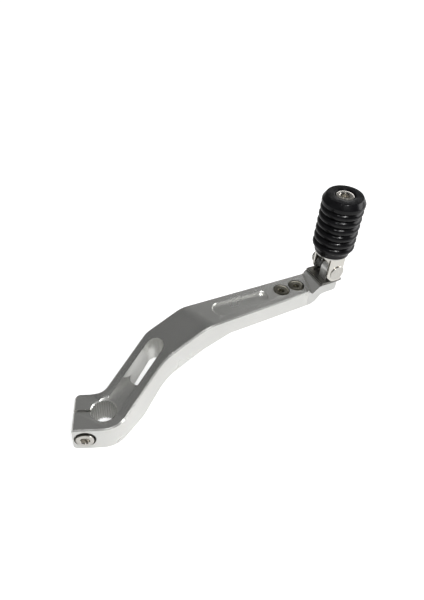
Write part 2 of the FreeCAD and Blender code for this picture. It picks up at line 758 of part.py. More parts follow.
lock_washer = boss_body("clamp_lock_washer")
ring(lock_washer, "lock_washer_ring", ACROSS, CLAMP_HEIGHT, HEAD_SEAT, WASHER_BACK,
     "Size.lock_washer_diameter", WASHER_HOLE)
split = side_sketch(lock_washer, "lock_washer_split", f"{HEAD_SEAT} - {OVERRUN}", ACROSS, CLAMP_HEIGHT)
rectangle(split, "-Size.lock_washer_gap / 2", "0", "Size.lock_washer_gap / 2", "Size.lock_washer_diameter")
pocket(lock_washer, "lock_washer_split_cut", split, f"Size.lock_washer_thickness + 2 * {OVERRUN}")

clamp_bolt = boss_body("clamp_bolt")
HEAD_BACK = f"({HEAD_SEAT} - Size.clamp_head_height)"
disc(clamp_bolt, "clamp_bolt_head", ACROSS, CLAMP_HEIGHT, HEAD_BACK, HEAD_SEAT, "Size.clamp_head")
disc(clamp_bolt, "clamp_bolt_shank", ACROSS, CLAMP_HEIGHT, HEAD_SEAT, f"{HEAD_SEAT} + Size.clamp_length",
     "Size.clamp_thread - 2 * Size.thread_clearance")
socket = side_sketch(clamp_bolt, "clamp_bolt_hexagon", HEAD_BACK, ACROSS, CLAMP_HEIGHT)
hexagon(socket, "Size.clamp_hex")
pocket(clamp_bolt, "clamp_bolt_socket", socket, "Size.clamp_hex_depth")


def is_rim(edge, diameter):
    """Whether an edge is a full circle of a diameter."""
    return isinstance(edge.Curve, Part.Circle) and abs(edge.Curve.Radius * 2 - number(diameter)) < 0.01


def outermost(body, diameter, toward):
    """The full circle of a diameter that lies furthest in a direction of the body's own frame."""
    rims = edges_where(body, lambda edge: is_rim(edge, diameter))
    shape = body.Tip.Shape
    rims.sort(key=lambda index: shape.Edges[index - 1].Curve.Center.dot(toward))
    return rims[-1:]


dress(clamp_bolt, "Chamfer", "clamp_bolt_head_chamfer",
      outermost(clamp_bolt, "Size.clamp_head", Vector(0, -1, 0)), "Size", "Size.small_chamfer")
dress(clamp_bolt, "Chamfer", "clamp_bolt_tip_chamfer",
      outermost(clamp_bolt, "Size.clamp_thread - 2 * Size.thread_clearance", Vector(0, 1, 0)),
      "Size", "Size.small_chamfer")

# ---------------------------------------------------------------------------------------------------------
# Tip bracket
# ---------------------------------------------------------------------------------------------------------

bracket = tip_body("tip_bracket")
HALF = "Size.bracket_half_width"
SLANT = "tan(Size.arm_end_slant)"
TAIL_GAP = "Size.tail_clearance"

head_plan = plan_sketch(bracket, "bracket_plan", OUTER_UNDER)
outline(head_plan, [
    (f"-Size.arm_end - {HALF} * {SLANT} + {TAIL_GAP}", f"-{HALF}"),
    ("Size.tongue_end - Size.tongue_round", f"-{HALF}", "Size.tongue_round", "left"),
    ("Size.tongue_end", f"-{HALF} + Size.tongue_round"),
    ("Size.tongue_end", f"{HALF} - Size.tongue_round", "Size.tongue_round", "left"),
    ("Size.tongue_end - Size.tongue_round", HALF),
    (f"-Size.arm_end + {HALF} * {SLANT} + {TAIL_GAP}", HALF),
])
pad(bracket, "bracket_block", head_plan, f"{SEAT_TOP} - {OUTER_UNDER}")

# The underside of the tongue rises in a curve from the arm's underside.
under = side_sketch(bracket, "bracket_underside", f"-{HALF} - {OVERRUN}")
outline(under, [
    ("Size.tongue_curve_start", OUTER_UNDER, "Size.tongue_curve", "left"),
    ("Size.tongue_knee", f"{TONGUE_UNDER} - Size.tongue_knee_drop"),
    ("Size.tongue_level_start", TONGUE_UNDER),
    (f"Size.tongue_end + {OVERRUN}", TONGUE_UNDER),
    (f"Size.tongue_end + {OVERRUN}", f"{OUTER_UNDER} - {OVERRUN}"),
    ("Size.tongue_curve_start", f"{OUTER_UNDER} - {OVERRUN}"),
])
pocket(bracket, "bracket_underside_cut", under, f"2 * {HALF} + 2 * {OVERRUN}")

# The valley between the arm's end and the seat, wide on the near side and narrow on the far side.
VALLEY_TOP = f"{SEAT_TOP} + {OVERRUN}"
near_valley = side_sketch(bracket, "valley_near_section", f"-{HALF}")
outline(near_valley, [
    (f"Size.valley_near_start - {OVERRUN}", "Size.arm_top"),
    ("Size.valley_near_start", "Size.arm_top"),
    ("Size.valley_near_bottom", "Size.arm_top - Size.valley_near_depth"),
    ("Size.valley_near_end", SEAT_TOP),
    ("Size.valley_near_end", VALLEY_TOP),
    (f"Size.valley_near_start - {OVERRUN}", VALLEY_TOP),
])
far_valley = side_sketch(bracket, "valley_far_section", HALF)
outline(far_valley, [
    (f"Size.valley_far_start - {OVERRUN}", "Size.arm_top"),
    ("Size.valley_far_start", "Size.arm_top"),
    ("Size.valley_far_bottom", "Size.arm_top - Size.valley_far_depth"),
    ("Size.valley_far_end", SEAT_TOP),
    ("Size.valley_far_end", VALLEY_TOP),
    (f"Size.valley_far_start - {OVERRUN}", VALLEY_TOP),
])
valley = bracket.newObject("PartDesign::SubtractiveLoft", "valley_cut")
valley.Profile = near_valley
valley.Sections = [far_valley]
valley.Ruled = True
doc.recompute()

tail_plan = plan_sketch(bracket, "tail_plan", OUTER_UNDER)
TAIL_HALF = f"({HALF_TAIL} - {TAIL_GAP})"
TAIL_TIP = f"(Size.tail_end + {TAIL_GAP})"
outline(tail_plan, [
    (f"-Size.arm_end + {OVERLAP}", f"-{TAIL_HALF}"),
    (f"-Size.arm_end + {OVERLAP}", TAIL_HALF),
    (f"{TAIL_TIP} + Size.tail_round", TAIL_HALF, "Size.tail_round", "left"),
    (TAIL_TIP, f"{TAIL_HALF} - Size.tail_round"),
    (TAIL_TIP, f"-{TAIL_HALF} + Size.tail_round", "Size.tail_round", "left"),
    (f"{TAIL_TIP} + Size.tail_round", f"-{TAIL_HALF}"),
])
pad(bracket, "bracket_tail", tail_plan, f"Size.tail_thickness - {TAIL_GAP}")

tail_holes = plan_sketch(bracket, "tail_threads", SEAT_TOP)
for place in SCREW_PLACES:
    circle(tail_holes, "Size.screw_thread", place)
pocket(bracket, "tail_thread_cut", tail_holes, f"{SEAT_TOP} - {OUTER_UNDER} + {OVERRUN}")

# The lug rises from the seat and is rounded about the pivot.
lug = side_sketch(bracket, "lug_side", "Size.lug_to")
outline(lug, [
    (f"-{LUG_RADIUS}", f"{TONGUE_UNDER} + {OVERLAP}"),
    (LUG_RADIUS, f"{TONGUE_UNDER} + {OVERLAP}"),
    (LUG_RADIUS, PIVOT_HEIGHT),
    (f"{LUG_RADIUS} * cos(45)", f"{PIVOT_HEIGHT} + {LUG_RADIUS} * sin(45)"),
    (f"-{LUG_RADIUS} * cos(45)", f"{PIVOT_HEIGHT} + {LUG_RADIUS} * sin(45)"),
    (f"-{LUG_RADIUS}", PIVOT_HEIGHT),
])
pad(bracket, "bracket_lug", lug, "Size.lug_to - Size.lug_from")
disc(bracket, "lug_eye", "0", PIVOT_HEIGHT, "Size.lug_from", "Size.lug_to", f"2 * {LUG_RADIUS}")
BUSH_HOLE = f"{BUSH_OUTER} + 2 * Size.press_clearance"
bore(bracket, "lug_bore", "0", PIVOT_HEIGHT, f"Size.lug_from - {OVERRUN}", f"Size.lug_to + {OVERRUN}",
     BUSH_HOLE)

# The hole that holds the lower leg of the spring.
SPRING_LAST = "(Size.spring_from + Size.spring_pitch * Size.spring_turns)"
anchor = plan_sketch(bracket, "spring_anchor_hole", SEAT_TOP)
circle(anchor, SPRING_HOLE, f"-{SPRING_RADIUS}", SPRING_LAST)
pocket(bracket, "spring_anchor_cut", anchor, "Size.spring_anchor_depth + Size.spring_anchor_gap")

# ---------------------------------------------------------------------------------------------------------
# Tip screws: low heads in the arm's counterbores, threaded into the bracket's tail.
# ---------------------------------------------------------------------------------------------------------

screws = tip_body("tip_screws")
screws.AllowCompound = True
SCREW_SEAT = "(Size.arm_top - Size.screw_counterbore_depth)"
screw_heads = plan_sketch(screws, "screw_heads", SCREW_SEAT)
screw_shanks = plan_sketch(screws, "screw_shanks", f"{SCREW_SEAT} - Size.screw_length")
for place in SCREW_PLACES:
    circle(screw_heads, "Size.screw_head", place)
    circle(screw_shanks, "Size.screw_thread - 2 * Size.thread_clearance", place)
pad(screws, "screw_head_discs", screw_heads, "Size.screw_head_height")
pad(screws, "screw_shank_rods", screw_shanks, "Size.screw_length")
for index, place in enumerate(SCREW_PLACES, start=1):
    hexagon_sketch = plan_sketch(screws, f"screw_hexagon_{index}",
                                 f"{SCREW_SEAT} + Size.screw_head_height", place)
    hexagon(hexagon_sketch, "Size.screw_hex")
    pocket(screws, f"screw_socket_{index}", hexagon_sketch, "Size.screw_hex_depth")
screw_top = number(f"{SCREW_SEAT} + Size.screw_head_height")
dress(screws, "Chamfer", "screw_head_chamfer",
      edges_where(screws, lambda edge: round_edge_at(edge, number("Size.screw_head"), screw_top)),
      "Size", "Size.small_chamfer")

# ---------------------------------------------------------------------------------------------------------
# Stop plate between the seat and the clevis
# ---------------------------------------------------------------------------------------------------------

plate = tip_body("stop_plate")
plate_plan = plan_sketch(plate, "plate_plan", SEAT_TOP)
PLATE_HALF = "Size.plate_half_width"
rectangle(plate_plan, "Size.plate_from", f"-{PLATE_HALF}", "Size.plate_to", PLATE_HALF)
pad(plate, "plate_slab", plate_plan, "Size.plate_thickness")
lug_notch = plan_sketch(plate, "plate_lug_notch", PLATE_TOP)
rectangle(lug_notch, f"-{LUG_RADIUS} - Size.plate_clearance", "Size.lug_from - Size.plate_clearance",
          f"Size.plate_to + {OVERRUN}", "Size.lug_to + Size.plate_clearance")
pocket(plate, "plate_lug_cut", lug_notch, f"Size.plate_thickness + {OVERRUN}")
leg_hole = plan_sketch(plate, "plate_spring_hole", PLATE_TOP)
circle(leg_hole, SPRING_HOLE, f"-{SPRING_RADIUS}", SPRING_LAST)
pocket(plate, "plate_spring_cut", leg_hole, f"Size.plate_thickness + {OVERRUN}")

# ---------------------------------------------------------------------------------------------------------
# Pivot bush, torsion spring, pin, washer and clip
# ---------------------------------------------------------------------------------------------------------

CHEEK_INSIDE = "(Size.clevis_half_width - Size.clevis_cheek)"
bush = tip_body("pivot_bush")
ring(bush, "bush_tube", "0", PIVOT_HEIGHT, "Size.lug_from", f"{CHEEK_INSIDE} - Size.bush_end_gap",
     BUSH_OUTER, "Size.pin_diameter + 2 * Size.pin_clearance")

spring = tip_body("torsion_spring")
wire = plan_sketch(spring, "spring_wire_section", PIVOT_HEIGHT)
circle(wire, "Size.spring_wire", f"-{SPRING_RADIUS}", "Size.spring_from")
coil = spring.newObject("PartDesign::AdditiveHelix", "spring_coil")
coil.Profile = wire
coil.ReferenceAxis = (wire, ["V_Axis"])
coil.Mode = "pitch-turns-angle"
coil.setExpression("Pitch", "Size.spring_pitch")
coil.setExpression("Turns", "Size.spring_turns")
coil.LeftHanded = True
doc.recompute()
upper_leg = plan_sketch(spring, "spring_upper_leg", PIVOT_HEIGHT)
circle(upper_leg, "Size.spring_wire", f"-{SPRING_RADIUS}", "Size.spring_from")
pad(spring, "spring_upper_leg_rod", upper_leg,
    f"{BRIDGE_UNDER} - Size.clevis_gap - {PIVOT_HEIGHT}")
lower_leg = plan_sketch(spring, "spring_lower_leg", f"{SEAT_TOP} - Size.spring_anchor_depth")
circle(lower_leg, "Size.spring_wire", f"-{SPRING_RADIUS}", SPRING_LAST)
pad(spring, "spring_lower_leg_rod", lower_leg,
    "Size.pivot_rise + Size.spring_anchor_depth")

WASHER_FROM = "(Size.clevis_half_width + Size.clevis_gap)"
CLIP_FROM = f"({WASHER_FROM} + Size.pivot_washer_thickness + Size.clevis_gap)"
CLIP_TO = f"({CLIP_FROM} + Size.clip_thickness)"
HEAD_FACE = f"(-{WASHER_FROM})"
pin = tip_body("pivot_pin")
disc(pin, "pin_head_disc", "0", PIVOT_HEIGHT, f"{HEAD_FACE} - Size.pin_head_thickness", HEAD_FACE,
     "Size.pin_head")
disc(pin, "pin_shaft", "0", PIVOT_HEIGHT, HEAD_FACE, f"{CLIP_FROM} - Size.clevis_gap",
     "Size.pin_diameter")
disc(pin, "pin_groove", "0", PIVOT_HEIGHT, f"{CLIP_FROM} - Size.clevis_gap",
     f"{CLIP_TO} + Size.clevis_gap", CLIP_GROOVE)
disc(pin, "pin_end", "0", PIVOT_HEIGHT, f"{CLIP_TO} + Size.clevis_gap",
     f"{CLIP_TO} + Size.clevis_gap + Size.pin_tail", "Size.pin_diameter")
dress(pin, "Fillet", "pin_head_round", outermost(pin, "Size.pin_head", Vector(0, -1, 0)), "Radius",
      "Size.small_chamfer")

pivot_washer = tip_body("pivot_washer")
ring(pivot_washer, "pivot_washer_ring", "0", PIVOT_HEIGHT, WASHER_FROM,
     f"{WASHER_FROM} + Size.pivot_washer_thickness", "Size.pivot_washer_diameter",
     "Size.pin_diameter + 2 * Size.thread_clearance")

clip = tip_body("pivot_clip")
ring(clip, "clip_ring", "0", PIVOT_HEIGHT, CLIP_FROM, CLIP_TO, "Size.clip_diameter",
     f"{CLIP_GROOVE} + 2 * Size.thread_clearance")
mouth = side_sketch(clip, "clip_mouth_side", f"{CLIP_FROM} - {OVERRUN}", height=PIVOT_HEIGHT)
rectangle(mouth, "-Size.clip_mouth / 2", "-Size.clip_diameter", "Size.clip_mouth / 2", "0")
pocket(clip, "clip_mouth_cut", mouth, f"Size.clip_thickness + 2 * {OVERRUN}")

# ---------------------------------------------------------------------------------------------------------
# Clevis
# ---------------------------------------------------------------------------------------------------------

clevis = tip_body("clevis")
LONG = "Size.clevis_half_length"
WIDE = "Size.clevis_half_width"
ROUND = "Size.clevis_round"
CLEVIS_FOOT = f"({PLATE_TOP} + Size.clevis_gap)"
clevis_plan = plan_sketch(clevis, "clevis_plan", CLEVIS_FOOT)
outline(clevis_plan, [
    (f"-{LONG} + {ROUND}", f"-{WIDE}"),
    (f"{LONG} - {ROUND}", f"-{WIDE}", ROUND, "left"),
    (LONG, f"-{WIDE} + {ROUND}"),
    (LONG, f"{WIDE} - {ROUND}", ROUND, "left"),
    (f"{LONG} - {ROUND}", WIDE),
    (f"-{LONG} + {ROUND}", WIDE, ROUND, "left"),
    (f"-{LONG}", f"{WIDE} - {ROUND}"),
    (f"-{LONG}", f"-{WIDE} + {ROUND}", ROUND, "left"),
])
pad(clevis, "clevis_block", clevis_plan, f"{CLEVIS_TOP} - {CLEVIS_FOOT}")
channel = plan_sketch(clevis, "clevis_channel", BRIDGE_UNDER)
rectangle(channel, f"-{LONG} - {OVERRUN}", f"-{CHEEK_INSIDE}", f"{LONG} + {OVERRUN}", CHEEK_INSIDE)
pocket(clevis, "clevis_channel_cut", channel, f"{CLEVIS_TOP} - {CLEVIS_FOOT}")

# The heel on the arm's side is rounded about the pivot, so that it clears the stop plate as the peg folds.
HEEL = f"({PIVOT_HEIGHT} - {CLEVIS_FOOT})"
heel = side_sketch(clevis, "clevis_heel", f"-{WIDE} - {OVERRUN}", height=PIVOT_HEIGHT)
outline(heel, [
    ("0", f"-{HEEL}", HEEL, "right"),
    (f"-{HEEL}", "0"),
    (f"-{HEEL} - {OVERRUN}", "0"),
    (f"-{HEEL} - {OVERRUN}", f"-{HEEL} - {OVERRUN}"),
    ("0", f"-{HEEL} - {OVERRUN}"),
])
pocket(clevis, "clevis_heel_cut", heel, f"2 * {WIDE} + 2 * {OVERRUN}")
bore(clevis, "clevis_pin_bore", "0", PIVOT_HEIGHT, f"-{WIDE} - {OVERRUN}", f"{WIDE} + {OVERRUN}",
     "Size.pin_diameter + 2 * Size.press_clearance")
bridge_hole = plan_sketch(clevis, "clevis_bridge_hole", CLEVIS_TOP)
circle(bridge_hole, "Size.spindle_neck + 2 * Size.press_clearance")
pocket(clevis, "clevis_bridge_cut", bridge_hole, f"Size.clevis_bridge + {OVERRUN}")

# ---------------------------------------------------------------------------------------------------------
# Toe peg: each piece is a half section turned about the peg's axis.
# ---------------------------------------------------------------------------------------------------------

WASHER_TOP = f"({CLEVIS_TOP} + Size.base_washer_thickness)"
RECESS_FLOOR = f"({PEG_TOP} - Size.recess_depth)"


def turned(name, section):
    """Piece turned about the peg's axis from a half section of (radius, height) corners."""
    body = tip_body(name)
    sketch = side_sketch(body, f"{name}_section")
    outline(sketch, section)
    revolve(body, f"{name}_turned", sketch)
    return body


spindle = turned("peg_spindle", [
    ("0", f"{BRIDGE_UNDER} - Size.spindle_rivet_height"),
    ("Size.spindle_rivet / 2 - Size.small_chamfer", f"{BRIDGE_UNDER} - Size.spindle_rivet_height"),
    ("Size.spindle_rivet / 2", f"{BRIDGE_UNDER} - Size.spindle_rivet_height + Size.small_chamfer"),
    ("Size.spindle_rivet / 2", BRIDGE_UNDER),
    ("Size.spindle_neck / 2", BRIDGE_UNDER),
    ("Size.spindle_neck / 2", CLEVIS_TOP),
    ("Size.spindle_diameter / 2", CLEVIS_TOP),
    ("Size.spindle_diameter / 2", RECESS_FLOOR),
    ("0", RECESS_FLOOR),
])
thread_hole = plan_sketch(spindle, "spindle_thread_hole", RECESS_FLOOR)
circle(thread_hole, "Size.end_thread")
pocket(spindle, "spindle_thread_cut", thread_hole, "Size.end_hole_depth")

RUBBER_BORE = "(Size.spindle_diameter / 2 + Size.rubber_clearance)"
base_washer = turned("peg_base_washer", [
    (RUBBER_BORE, CLEVIS_TOP),
    ("Size.base_washer_diameter / 2", CLEVIS_TOP),
    ("Size.base_washer_diameter / 2", WASHER_TOP),
    (RUBBER_BORE, WASHER_TOP),
])

# The ribs are spread evenly between the collar and the cap. A rib's arc rises from the groove to the rib's
# radius over the rib's width.
COLLAR_TOP = f"({WASHER_TOP} + Size.collar_height)"
CAP_FROM = f"({PEG_TOP} - Size.cap_height)"
RIB_FIRST = f"({COLLAR_TOP} + Size.rib_first_rise)"
RIB_PITCH = f"(({CAP_FROM} - Size.rib_last_gap - {RIB_FIRST}) / (Size.rib_count - 1))"
RIB_RISE = "(Size.rib_radius - Size.rib_root_radius)"
RIB_ARC = f"((Size.rib_width / 2)^2 + {RIB_RISE}^2) / (2 * {RIB_RISE})"
rubber_section = [
    (RUBBER_BORE, WASHER_TOP),
    ("Size.collar_radius", WASHER_TOP),
    ("Size.collar_radius", COLLAR_TOP),
    ("Size.rib_root_radius", COLLAR_TOP),
]
for rib in range(int(number("Size.rib_count"))):
    middle = f"{RIB_FIRST} + {rib} * {RIB_PITCH}"
    rubber_section.append(("Size.rib_root_radius", f"{middle} - Size.rib_width / 2", RIB_ARC, "left"))
    rubber_section.append(("Size.rib_root_radius", f"{middle} + Size.rib_width / 2"))
rubber_section += [
    ("Size.rib_root_radius", CAP_FROM),
    ("Size.cap_radius", f"{CAP_FROM} + Size.cap_foot_chamfer"),
    ("Size.cap_radius", f"{PEG_TOP} - Size.cap_bevel_height"),
    ("Size.cap_top_radius", PEG_TOP),
    ("Size.recess_diameter / 2", PEG_TOP),
    ("Size.recess_diameter / 2", RECESS_FLOOR),
    (RUBBER_BORE, RECESS_FLOOR),
]
rubber = turned("rubber_sleeve", rubber_section)

END_SEAT = f"({RECESS_FLOOR} + Size.end_washer_thickness)"
end_washer = turned("end_washer", [
    ("Size.end_thread / 2 + Size.washer_hole_clearance", RECESS_FLOOR),
    ("Size.end_washer_diameter / 2", RECESS_FLOOR),
    ("Size.end_washer_diameter / 2", END_SEAT),
    ("Size.end_thread / 2 + Size.washer_hole_clearance", END_SEAT),
])

END_TOP = f"({END_SEAT} + Size.end_head_height)"
END_SHANK = "(Size.end_thread / 2 - Size.thread_clearance)"
end_screw = turned("end_screw", [
    ("0", f"{END_SEAT} - Size.end_length"),
    (f"{END_SHANK} - Size.small_chamfer", f"{END_SEAT} - Size.end_length"),
    (END_SHANK, f"{END_SEAT} - Size.end_length + Size.small_chamfer"),
    (END_SHANK, END_SEAT),
    ("Size.end_head / 2", END_SEAT),
    ("Size.end_head / 2", f"{END_TOP} - Size.small_chamfer"),
    ("Size.end_head / 2 - Size.small_chamfer", END_TOP),
    ("0", END_TOP),
])
end_hexagon = plan_sketch(end_screw, "end_screw_hexagon", END_TOP)
hexagon(end_hexagon, "Size.end_hex")
pocket(end_screw, "end_screw_socket", end_hexagon, "Size.end_hex_depth")

# ---------------------------------------------------------------------------------------------------------
# Check every object, then write each sub-part
# ---------------------------------------------------------------------------------------------------------

doc.recompute()
for item in doc.Objects:
    if "Invalid" in item.State or "Error" in item.State:
        raise RuntimeError(f"{item.Label} failed: {item.State}")

bodies = [item for item in doc.Objects if item.TypeId == "PartDesign::Body"]
for body in bodies:
    if body.Shape.isNull() or not body.Shape.isValid():
        raise RuntimeError(f"{body.Label} has no valid shape")

os.makedirs("parts", exist_ok=True)
for body in bodies:
    body.Shape.exportStep(f"parts/{body.Label}.step")
    print(f"{body.Label}: {len(body.Shape.Solids)} solid(s), {body.Shape.Volume:.1f} mm3")
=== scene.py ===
import json
import math

import bmesh
import bpy
import numpy as np
from mathutils import Matrix, Vector


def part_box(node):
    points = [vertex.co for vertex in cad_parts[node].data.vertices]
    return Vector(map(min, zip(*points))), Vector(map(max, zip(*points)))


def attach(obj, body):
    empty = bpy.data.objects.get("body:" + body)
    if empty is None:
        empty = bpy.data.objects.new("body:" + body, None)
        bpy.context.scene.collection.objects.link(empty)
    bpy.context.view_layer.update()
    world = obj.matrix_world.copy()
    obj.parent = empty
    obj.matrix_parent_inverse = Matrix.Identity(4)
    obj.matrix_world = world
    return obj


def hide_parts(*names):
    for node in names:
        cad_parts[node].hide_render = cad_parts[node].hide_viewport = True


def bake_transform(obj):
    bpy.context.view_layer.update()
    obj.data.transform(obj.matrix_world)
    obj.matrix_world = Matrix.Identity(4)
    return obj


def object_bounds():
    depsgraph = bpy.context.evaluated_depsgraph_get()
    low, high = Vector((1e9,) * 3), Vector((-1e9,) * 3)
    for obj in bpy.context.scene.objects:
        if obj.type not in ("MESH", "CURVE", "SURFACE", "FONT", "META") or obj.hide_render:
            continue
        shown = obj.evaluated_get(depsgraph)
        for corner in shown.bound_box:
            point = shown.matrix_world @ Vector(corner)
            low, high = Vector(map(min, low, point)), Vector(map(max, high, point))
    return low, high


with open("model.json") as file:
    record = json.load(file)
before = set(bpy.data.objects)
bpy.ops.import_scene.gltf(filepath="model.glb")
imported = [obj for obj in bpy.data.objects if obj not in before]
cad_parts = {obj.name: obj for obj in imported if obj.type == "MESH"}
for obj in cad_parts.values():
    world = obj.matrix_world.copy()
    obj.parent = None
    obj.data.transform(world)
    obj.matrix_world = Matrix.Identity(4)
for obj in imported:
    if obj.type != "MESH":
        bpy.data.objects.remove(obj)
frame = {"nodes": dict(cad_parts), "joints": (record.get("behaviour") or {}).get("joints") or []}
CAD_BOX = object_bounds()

# Gear shift lever with a folding toe peg. Metres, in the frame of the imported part: +X from the splined bore to
# the peg, +Z along the bore and the peg.

MM = 0.001
TAU = 2 * math.pi

# The fold joint gives the peg's foot and the hinge line, which runs across the outer leg.
FOLD = frame["joints"][0]
PIVOT = Vector(FOLD["pos_m"])
ACROSS = -Vector(FOLD["axis"]).normalized()
UP = Vector((0, 0, 1))
ALONG = ACROSS.cross(UP)

# ------------------------------------------------------------------------------------------------------------
# Camera, floor and light
# ------------------------------------------------------------------------------------------------------------

CAMERA_PLACE = Vector((-0.0677, -0.1545, 0.2350))
CAMERA_HEADING = math.radians(50.25)
CAMERA_PITCH = math.radians(-41.85)
CAMERA_ROLL = math.radians(4.86)
CAMERA_LENS = 33.94
FLOOR_SIZE = 6.0


def make_camera():
    """Camera from its place, heading a, pitch p and roll: it looks along (cos p cos a, cos p sin a, sin p)."""
    forward = Vector((math.cos(CAMERA_PITCH) * math.cos(CAMERA_HEADING),
                      math.cos(CAMERA_PITCH) * math.sin(CAMERA_HEADING),
                      math.sin(CAMERA_PITCH)))
    level_right = forward.cross(UP).normalized()
    level_up = level_right.cross(forward)
    right = math.cos(CAMERA_ROLL) * level_right + math.sin(CAMERA_ROLL) * level_up
    top = right.cross(forward)
    data = bpy.data.cameras.new("view")
    data.lens = CAMERA_LENS
    data.sensor_width = 36
    data.clip_start = 0.01
    camera = bpy.data.objects.new("view", data)
    turn = Matrix((right, top, -forward)).transposed().to_4x4()
    camera.matrix_world = Matrix.Translation(CAMERA_PLACE) @ turn
    bpy.context.scene.collection.objects.link(camera)
    bpy.context.scene.camera = camera


def softbox(name, direction, distance, width, height, power, glossy=True):
    """Area light at a distance from the lever's middle, facing it."""
    data = bpy.data.lights.new(name, "AREA")
    data.shape = "RECTANGLE"
    data.size = width
    data.size_y = height
    data.energy = power
    box = bpy.data.objects.new(name, data)
    low, high = CAD_BOX
    middle = (Vector(low) + Vector(high)) / 2
    toward = Vector(direction).normalized()
    box.location = middle + toward * distance
    box.rotation_euler = toward.to_track_quat("Z", "Y").to_euler()
    box.visible_glossy = glossy
    bpy.context.scene.collection.objects.link(box)


def studio_sky():
    """World light by height: even up to 40 degrees, then falling to a nearly dark ceiling."""
    world = bpy.data.worlds.new("studio")
    bpy.context.scene.world = world
    world.use_nodes = True
    nodes = world.node_tree.nodes
    links = world.node_tree.links
    nodes.clear()
    out = nodes.new("ShaderNodeOutputWorld")
    background = nodes.new("ShaderNodeBackground")
    coordinates = nodes.new("ShaderNodeTexCoord")
    split = nodes.new("ShaderNodeSeparateXYZ")
    ramp = nodes.new("ShaderNodeValToRGB")
    links.new(coordinates.outputs["Generated"], split.inputs[0])
    links.new(split.outputs["Z"], ramp.inputs[0])
    links.new(ramp.outputs[0], background.inputs["Color"])
    links.new(background.outputs[0], out.inputs["Surface"])
    # Sine of the height above the horizon, and the light there.
    stops = [(0.0, 0.20), (0.34, 0.20), (0.643, 0.17), (0.80, 0.11), (0.92, 0.045), (1.0, 0.03)]
    elements = ramp.color_ramp.elements
    while len(elements) < len(stops):
        elements.new(0.5)
    for element, (place, light) in zip(elements, stops):
        element.position = place
        element.color = (light, light, light * 0.985, 1)


make_camera()
studio_sky()
# Name, direction from the lever, distance, width and height in metres, power in watts.
softbox("right_key", (0.87, -0.42, 0.36), 1.0, 0.8, 0.5, 4.1)
softbox("front_strip", (-0.156, -0.624, 0.766), 0.8, 0.15, 0.06, 1.9)
softbox("front_top", (-0.25, -0.63, 0.74), 0.9, 0.45, 0.20, 0.9)
softbox("left_spot", (-0.539, -0.35, 0.766), 0.8, 0.08, 0.05, 0.35)
softbox("back_right", (0.85, 0.38, 0.22), 1.0, 1.0, 0.3, 2.6)
softbox("overhead", (-0.1, -0.3, 1.0), 1.5, 2.4, 2.4, 22, glossy=False)

bpy.context.scene.view_settings.view_transform = "Standard"

# ------------------------------------------------------------------------------------------------------------
# Finishes
# ------------------------------------------------------------------------------------------------------------


class Nodes:
    """Short-hand for a node tree: add nodes and join sockets."""

    def __init__(self, tree):
        self.tree = tree

    def add(self, kind, **settings):
        node = self.tree.nodes.new(kind)
        for name, value in settings.items():
            setattr(node, name, value)
        return node

    def join(self, source, target):
        self.tree.links.new(source, target)

    def math(self, operation, first, second=None):
        node = self.add("ShaderNodeMath", operation=operation)
        for socket, value in zip(node.inputs, (first, second)):
            if value is None:
                continue
            if isinstance(value, (int, float)):
                socket.default_value = value
            else:
                self.join(value, socket)
        return node.outputs[0]

    def noise(self, vector, scale, detail):
        node = self.add("ShaderNodeTexNoise")
        node.inputs["Scale"].default_value = scale
        node.inputs["Detail"].default_value = detail
        node.inputs["Roughness"].default_value = 0.55
        self.join(vector, node.inputs["Vector"])
        return node.outputs[0]

    def span(self, value, low, high, to_low, to_high):
        node = self.add("ShaderNodeMapRange")
        ends = {"From Min": low, "From Max": high, "To Min": to_low, "To Max": to_high}
        for name, number in ends.items():
            node.inputs[name].default_value = number
        self.join(value, node.inputs["Value"])
        return node.outputs[0]


def new_group(name, inputs, outputs):
    """Empty node group with named inputs (name, kind, default) and outputs (name, kind)."""
    tree = bpy.data.node_groups.new(name, "ShaderNodeTree")
    for label, kind, default in inputs:
        socket = tree.interface.new_socket(label, in_out="INPUT", socket_type=kind)
        if default is not None:
            socket.default_value = default
    for label, kind in outputs:
        tree.interface.new_socket(label, in_out="OUTPUT", socket_type=kind)
    build = Nodes(tree)
    return tree, build, build.add("NodeGroupInput"), build.add("NodeGroupOutput")


def blasted_skin():
    """Bead-blasted metal: a fine pebble height and soft cloudiness.
    Height is fine noise plus half of a coarser one; Cloud is a slow noise between 0 and 1."""
    tree, build, given, gives = new_group(
        "blasted_skin",
        [("Vector", "NodeSocketVector", None), ("Grain", "NodeSocketFloat", 9000.0)],
        [("Height", "NodeSocketFloat"), ("Cloud", "NodeSocketFloat")])
    fine = build.add("ShaderNodeTexNoise")
    fine.inputs["Detail"].default_value = 3
    build.join(given.outputs["Vector"], fine.inputs["Vector"])
    build.join(given.outputs["Grain"], fine.inputs["Scale"])
    coarse = build.noise(given.outputs["Vector"], 1600, 2)
    height = build.math("ADD", fine.outputs[0], build.math("MULTIPLY", coarse, 0.5))
    build.join(height, gives.inputs["Height"])
    build.join(build.noise(given.outputs["Vector"], 38, 3), gives.inputs["Cloud"])
    return tree


def fine_scratches():
    """Hairline scratches: two noises, each stretched forty times along its own line and cut to thin peaks."""
    tree, build, given, gives = new_group(
        "fine_scratches",
        [("Vector", "NodeSocketVector", None)],
        [("Scratch", "NodeSocketFloat")])
    masks = []
    for turn, scale in ((0.4, 900), (1.9, 1300)):
        mapping = build.add("ShaderNodeMapping")
        mapping.inputs["Rotation"].default_value = (0.2, 0.1, turn)
        mapping.inputs["Scale"].default_value = (1, 0.025, 1)
        build.join(given.outputs["Vector"], mapping.inputs["Vector"])
        masks.append(build.span(build.noise(mapping.outputs[0], scale, 2), 0.66, 0.74, 0, 1))
    build.join(build.math("MAXIMUM", masks[0], masks[1]), gives.inputs["Scratch"])
    return tree


